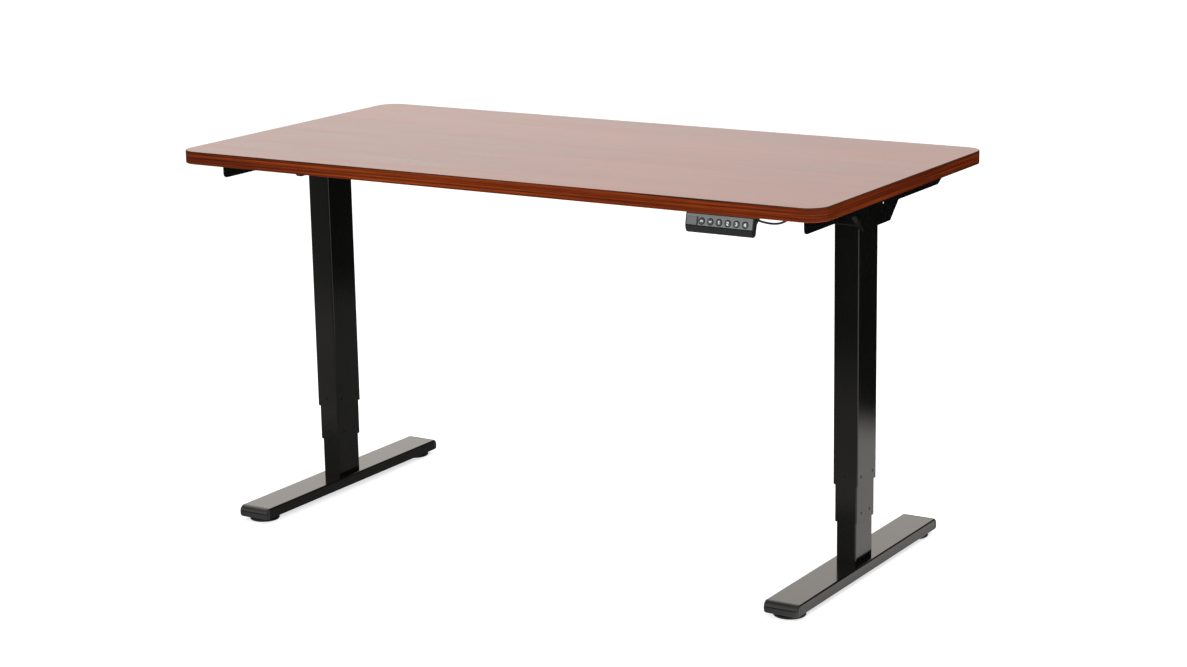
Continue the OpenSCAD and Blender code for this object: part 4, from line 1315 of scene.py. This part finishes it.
def mark(bm, x, lines):
    """Strokes on the cap: a bar for each piece of a line and a disc at each of its points."""
    near, far = KEY_BASE - KEY_TOP - 0.05 * MM, KEY_BASE - KEY_TOP + 0.1 * MM
    half = STROKE / 2
    for line in lines:
        points = [Vector((x + a * MARK_SIZE, b * MARK_SIZE)) for a, b in line]
        for point in points:
            prism(bm, circle(point.x, point.y, half, 10), near, far, "y")
        for a, b in zip(points, points[1:]):
            across = (b - a).orthogonal().normalized() * half
            prism(bm, [a + across, a - across, b - across, b + across], near, far, "y")


def key(node, x, body, lines):
    bm = bmesh.new()
    turned(bm, [(0, 0), (6.2 * MM, 0), (6.2 * MM, 0.9 * MM), (6.1 * MM, 1 * MM), (4.8 * MM, 1 * MM),
                (4.8 * MM, 3.6 * MM), (4.72 * MM, 3.85 * MM), (4.5 * MM, 4.03 * MM), (4.1 * MM, 4.12 * MM),
                (3 * MM, 4.17 * MM), (0, KEY_TOP)], (x, KEY_BASE, 0), (0, -1, 0), 44)
    caps = len(bm.faces)
    mark(bm, x, lines)
    made = piece("key_" + node.replace("_button", ""), onto_face(bm), body, KEYS, [node],
                 smooth=35)
    made.data.materials.append(MARKS)
    for face in made.data.polygons[caps:]:
        face.material_index = 1


for (node, (body, lines)), x in zip(FIGURES.items(), KEY_XS):
    key(node, x, body, lines)
print(len(FIGURES), "keys")

# %% [markdown]
# ## The cables
# Three cables run under the top: one from the handset and one from each motor, all to the
# control box. Clips hold them up. Each one is a smooth round sheath through the same points
# as in the frame, given here in millimetres.

# %% Cables
HANDSET_ROUTE = [
    (560, -330, 727), (560, -321, 726.6), (564, -312, 723.4), (573, -306, 720),
    (585, -303, 718.4), (598, -301, 719.6), (607, -297, 723), (611, -291, 726.8),
    (608, -284, 729.4), (600, -278, 730.4), (594, -275, 730.5), (592, -271, 730.5),
    (592, -256, 730.5), (592, -240, 730.5), (586, -214, 730.5), (570, -196, 730.5),
    (540, -190, 730.5), (500, -190, 730.5), (460, -190, 730.5), (400, -190, 730.5),
    (360, -190, 730.5), (320, -190, 730.5), (280, -180, 730), (252, -154, 729), (236, -124, 724),
    (226, -100, 712), (220, -82, 700), (214, -62, 695), (206, -42, 695), (194, -28, 700),
    (176, -21, 706), (158, -20, 708), (138, -20, 708),
]
RIGHT_ROUTE = [
    (458, 0, 702), (430, 0, 702), (408, 0, 705), (384, 0, 716), (362, 0, 726), (338, 0, 730.5),
    (318, 0, 730.5), (296, 0, 730.5), (270, 0, 727), (240, 0, 718), (206, 0, 711), (172, 0, 708),
    (138, 0, 708),
]
LEFT_YS = [0, 0, 0, 0, 0, 0, 0, -2, -8, -15, -19, -20, -20]
LEFT_ROUTE = [(-x, y, z) for (x, _, z), y in zip(RIGHT_ROUTE, LEFT_YS)]


def smooth_path(route, steps=5):
    """A curve through every point of a route, with its ends kept."""
    points = [Vector(p) * MM for p in route]
    points = [points[0] * 2 - points[1]] + points + [points[-1] * 2 - points[-2]]
    path = []
    for a, b, c, d in zip(points, points[1:], points[2:], points[3:]):
        for k in range(steps):
            t = k / steps
            path.append(0.5 * (2 * b + (c - a) * t + (2 * a - 5 * b + 4 * c - d) * t ** 2
                               + (3 * b - a - 3 * c + d) * t ** 3))
    return path + [points[-2]]


SHEATH_SIDES = 14


def cable(name, node, route, radius):
    path = smooth_path(route)
    bm = bmesh.new()
    across = (path[1] - path[0]).orthogonal().normalized()
    rings = []
    for i, point in enumerate(path):
        along = (path[min(i + 1, len(path) - 1)] - path[max(i - 1, 0)]).normalized()
        across = (across - along * across.dot(along)).normalized()
        other = along.cross(across)
        rings.append([bm.verts.new(point + across * a + other * b)
                      for a, b in circle(0, 0, radius, SHEATH_SIDES)])
    skin(bm, rings)
    piece(name, bm, "top_frame", SHEATH, [node], smooth=60)


cable("cord_handset", "handset_cable", HANDSET_ROUTE, 1.95 * MM)
cable("cord_right_motor", "right_motor_cable", RIGHT_ROUTE, 2.95 * MM)
cable("cord_left_motor", "left_motor_cable", LEFT_ROUTE, 2.95 * MM)
print("three cables")

# %% Clips
CLIP_SPOTS = [(592, -264, 90, 4), (500, -190, 0, 4), (360, -190, 0, 4), (318, 0, 0, 6), (-318, 0, 0, 6)]


def clip(diameter):
    """A saddle clip: a cable runs through it along X and its screw goes up at y = 9 mm."""
    bm = bmesh.new()
    outline = filleted([(-7 * MM, 0), (-7 * MM, -9 * MM), (13 * MM, -9 * MM), (13 * MM, 0)],
                       [0.4 * MM, 4 * MM, 2 * MM, 0.4 * MM], 6)
    prism(bm, outline, -4 * MM, 4 * MM, "x")
    holes = bmesh.new()
    bore = diameter / 2 * MM + 0.2 * MM
    rod(holes, bore, 20 * MM, (-10 * MM, 0, -4.5 * MM), (1, 0, 0), 24)
    rod(holes, 2.1 * MM, 14 * MM, (0, 9 * MM, -12 * MM))
    bm = drilled(bm, holes)
    soften(bm, 0.4 * MM)
    return bm


def clips():
    bm = bmesh.new()
    for x, y, angle, diameter in CLIP_SPOTS:
        shape = clip(diameter)
        turn = Matrix.Rotation(math.radians(angle), 4, "Z")
        stamp(bm, shape, Matrix.Translation((x * MM, y * MM, FRAME_TOP)) @ turn)
        shape.free()
    piece("saddle_clips", bm, "top_frame", CLIP, ["cable_clips"], smooth=35)


clips()
print(len(CLIP_SPOTS), "clips")

# %% [markdown]
# ## Fasteners
# Wood screws with round heads and a cross recess hold everything to the top. Bolts with a
# hexagon socket hold the steel together. Each head is made once and stamped where the frame
# has a screw, with the frame telling us the place and the direction.

# %% Screws and bolts
def spread(points, middle, axis, value):
    """How far the points at one end of a fastener lie from its middle line."""
    end = [Vector(p) - middle for p in points if abs(p[axis] - value) < 1e-5]
    for v in end:
        v[axis] = 0
    return max(v.length for v in end)


def fastener_places(node):
    """For each fastener, where its head ends, which way its shank points and its length."""
    places = []
    for points in islands(node):
        low, high = extent(points)
        size, middle = high - low, (low + high) / 2
        k = max(range(3), key=lambda i: size[i])
        way = Vector([1.0 if i == k else 0.0 for i in range(3)])
        if spread(points, middle, k, high[k]) > spread(points, middle, k, low[k]):
            way = -way
        places.append((middle - way * size[k] / 2, way, size[k]))
    return places


def headed(head_r, head_h, shank_r, length, recess):
    """A round-headed fastener whose head starts at the origin and whose shank points up."""
    bm = bmesh.new()
    turned(bm, [(0, 0), (head_r * 0.55, 0), (head_r * 0.8, head_h * 0.1), (head_r * 0.94, head_h * 0.3),
                (head_r, head_h * 0.62), (head_r, head_h), (shank_r, head_h), (shank_r, length),
                (0, length)], (0, 0, 0), steps=28)
    return drilled(bm, recess)


def cross_recess():
    bm = bmesh.new()
    arm, wide, deep = 2.2 * MM, 0.45 * MM, 1.3 * MM
    corners = []
    for k in range(4):
        turn = Matrix.Rotation(math.radians(90 * k), 2)
        corners += [tuple(turn @ Vector(c)) for c in ((arm, -wide), (arm, wide), (wide, wide))]
    prism(bm, corners, -1 * MM, deep, "z")
    return bm


def socket_recess(across, deep):
    bm = bmesh.new()
    prism(bm, circle(0, 0, across / 2, 6), -1 * MM, deep, "z")
    return bm


def fasteners(name, node, body, shape_for):
    """One piece from all the fasteners of a group. Shape_for makes one of a given length."""
    bm = bmesh.new()
    shapes = {}
    for head, way, length in fastener_places(node):
        size = round(length, 5)
        if size not in shapes:
            shapes[size] = shape_for(size)
        turn = Vector((0, 0, 1)).rotation_difference(way).to_matrix().to_4x4()
        stamp(bm, shapes[size], Matrix.Translation(head) @ turn)
    for shape in shapes.values():
        shape.free()
    piece(name, bm, body, ZINC, [node], smooth=35)


fasteners("cross_screws", "wood_screws", "top_frame",
          lambda length: headed(3.95 * MM, 2.4 * MM, 1.7 * MM, length, cross_recess()))
fasteners("socket_bolts", "frame_bolts", "top_frame",
          lambda length: headed(5.4 * MM, 4 * MM, 2.95 * MM, length, socket_recess(5.6 * MM, 2.4 * MM)))
fasteners("foot_socket_bolts", "foot_bolts", "base",
          lambda length: headed(6.4 * MM, 5 * MM, 3.95 * MM, length, socket_recess(7 * MM, 3.2 * MM)))
print("screws and bolts")
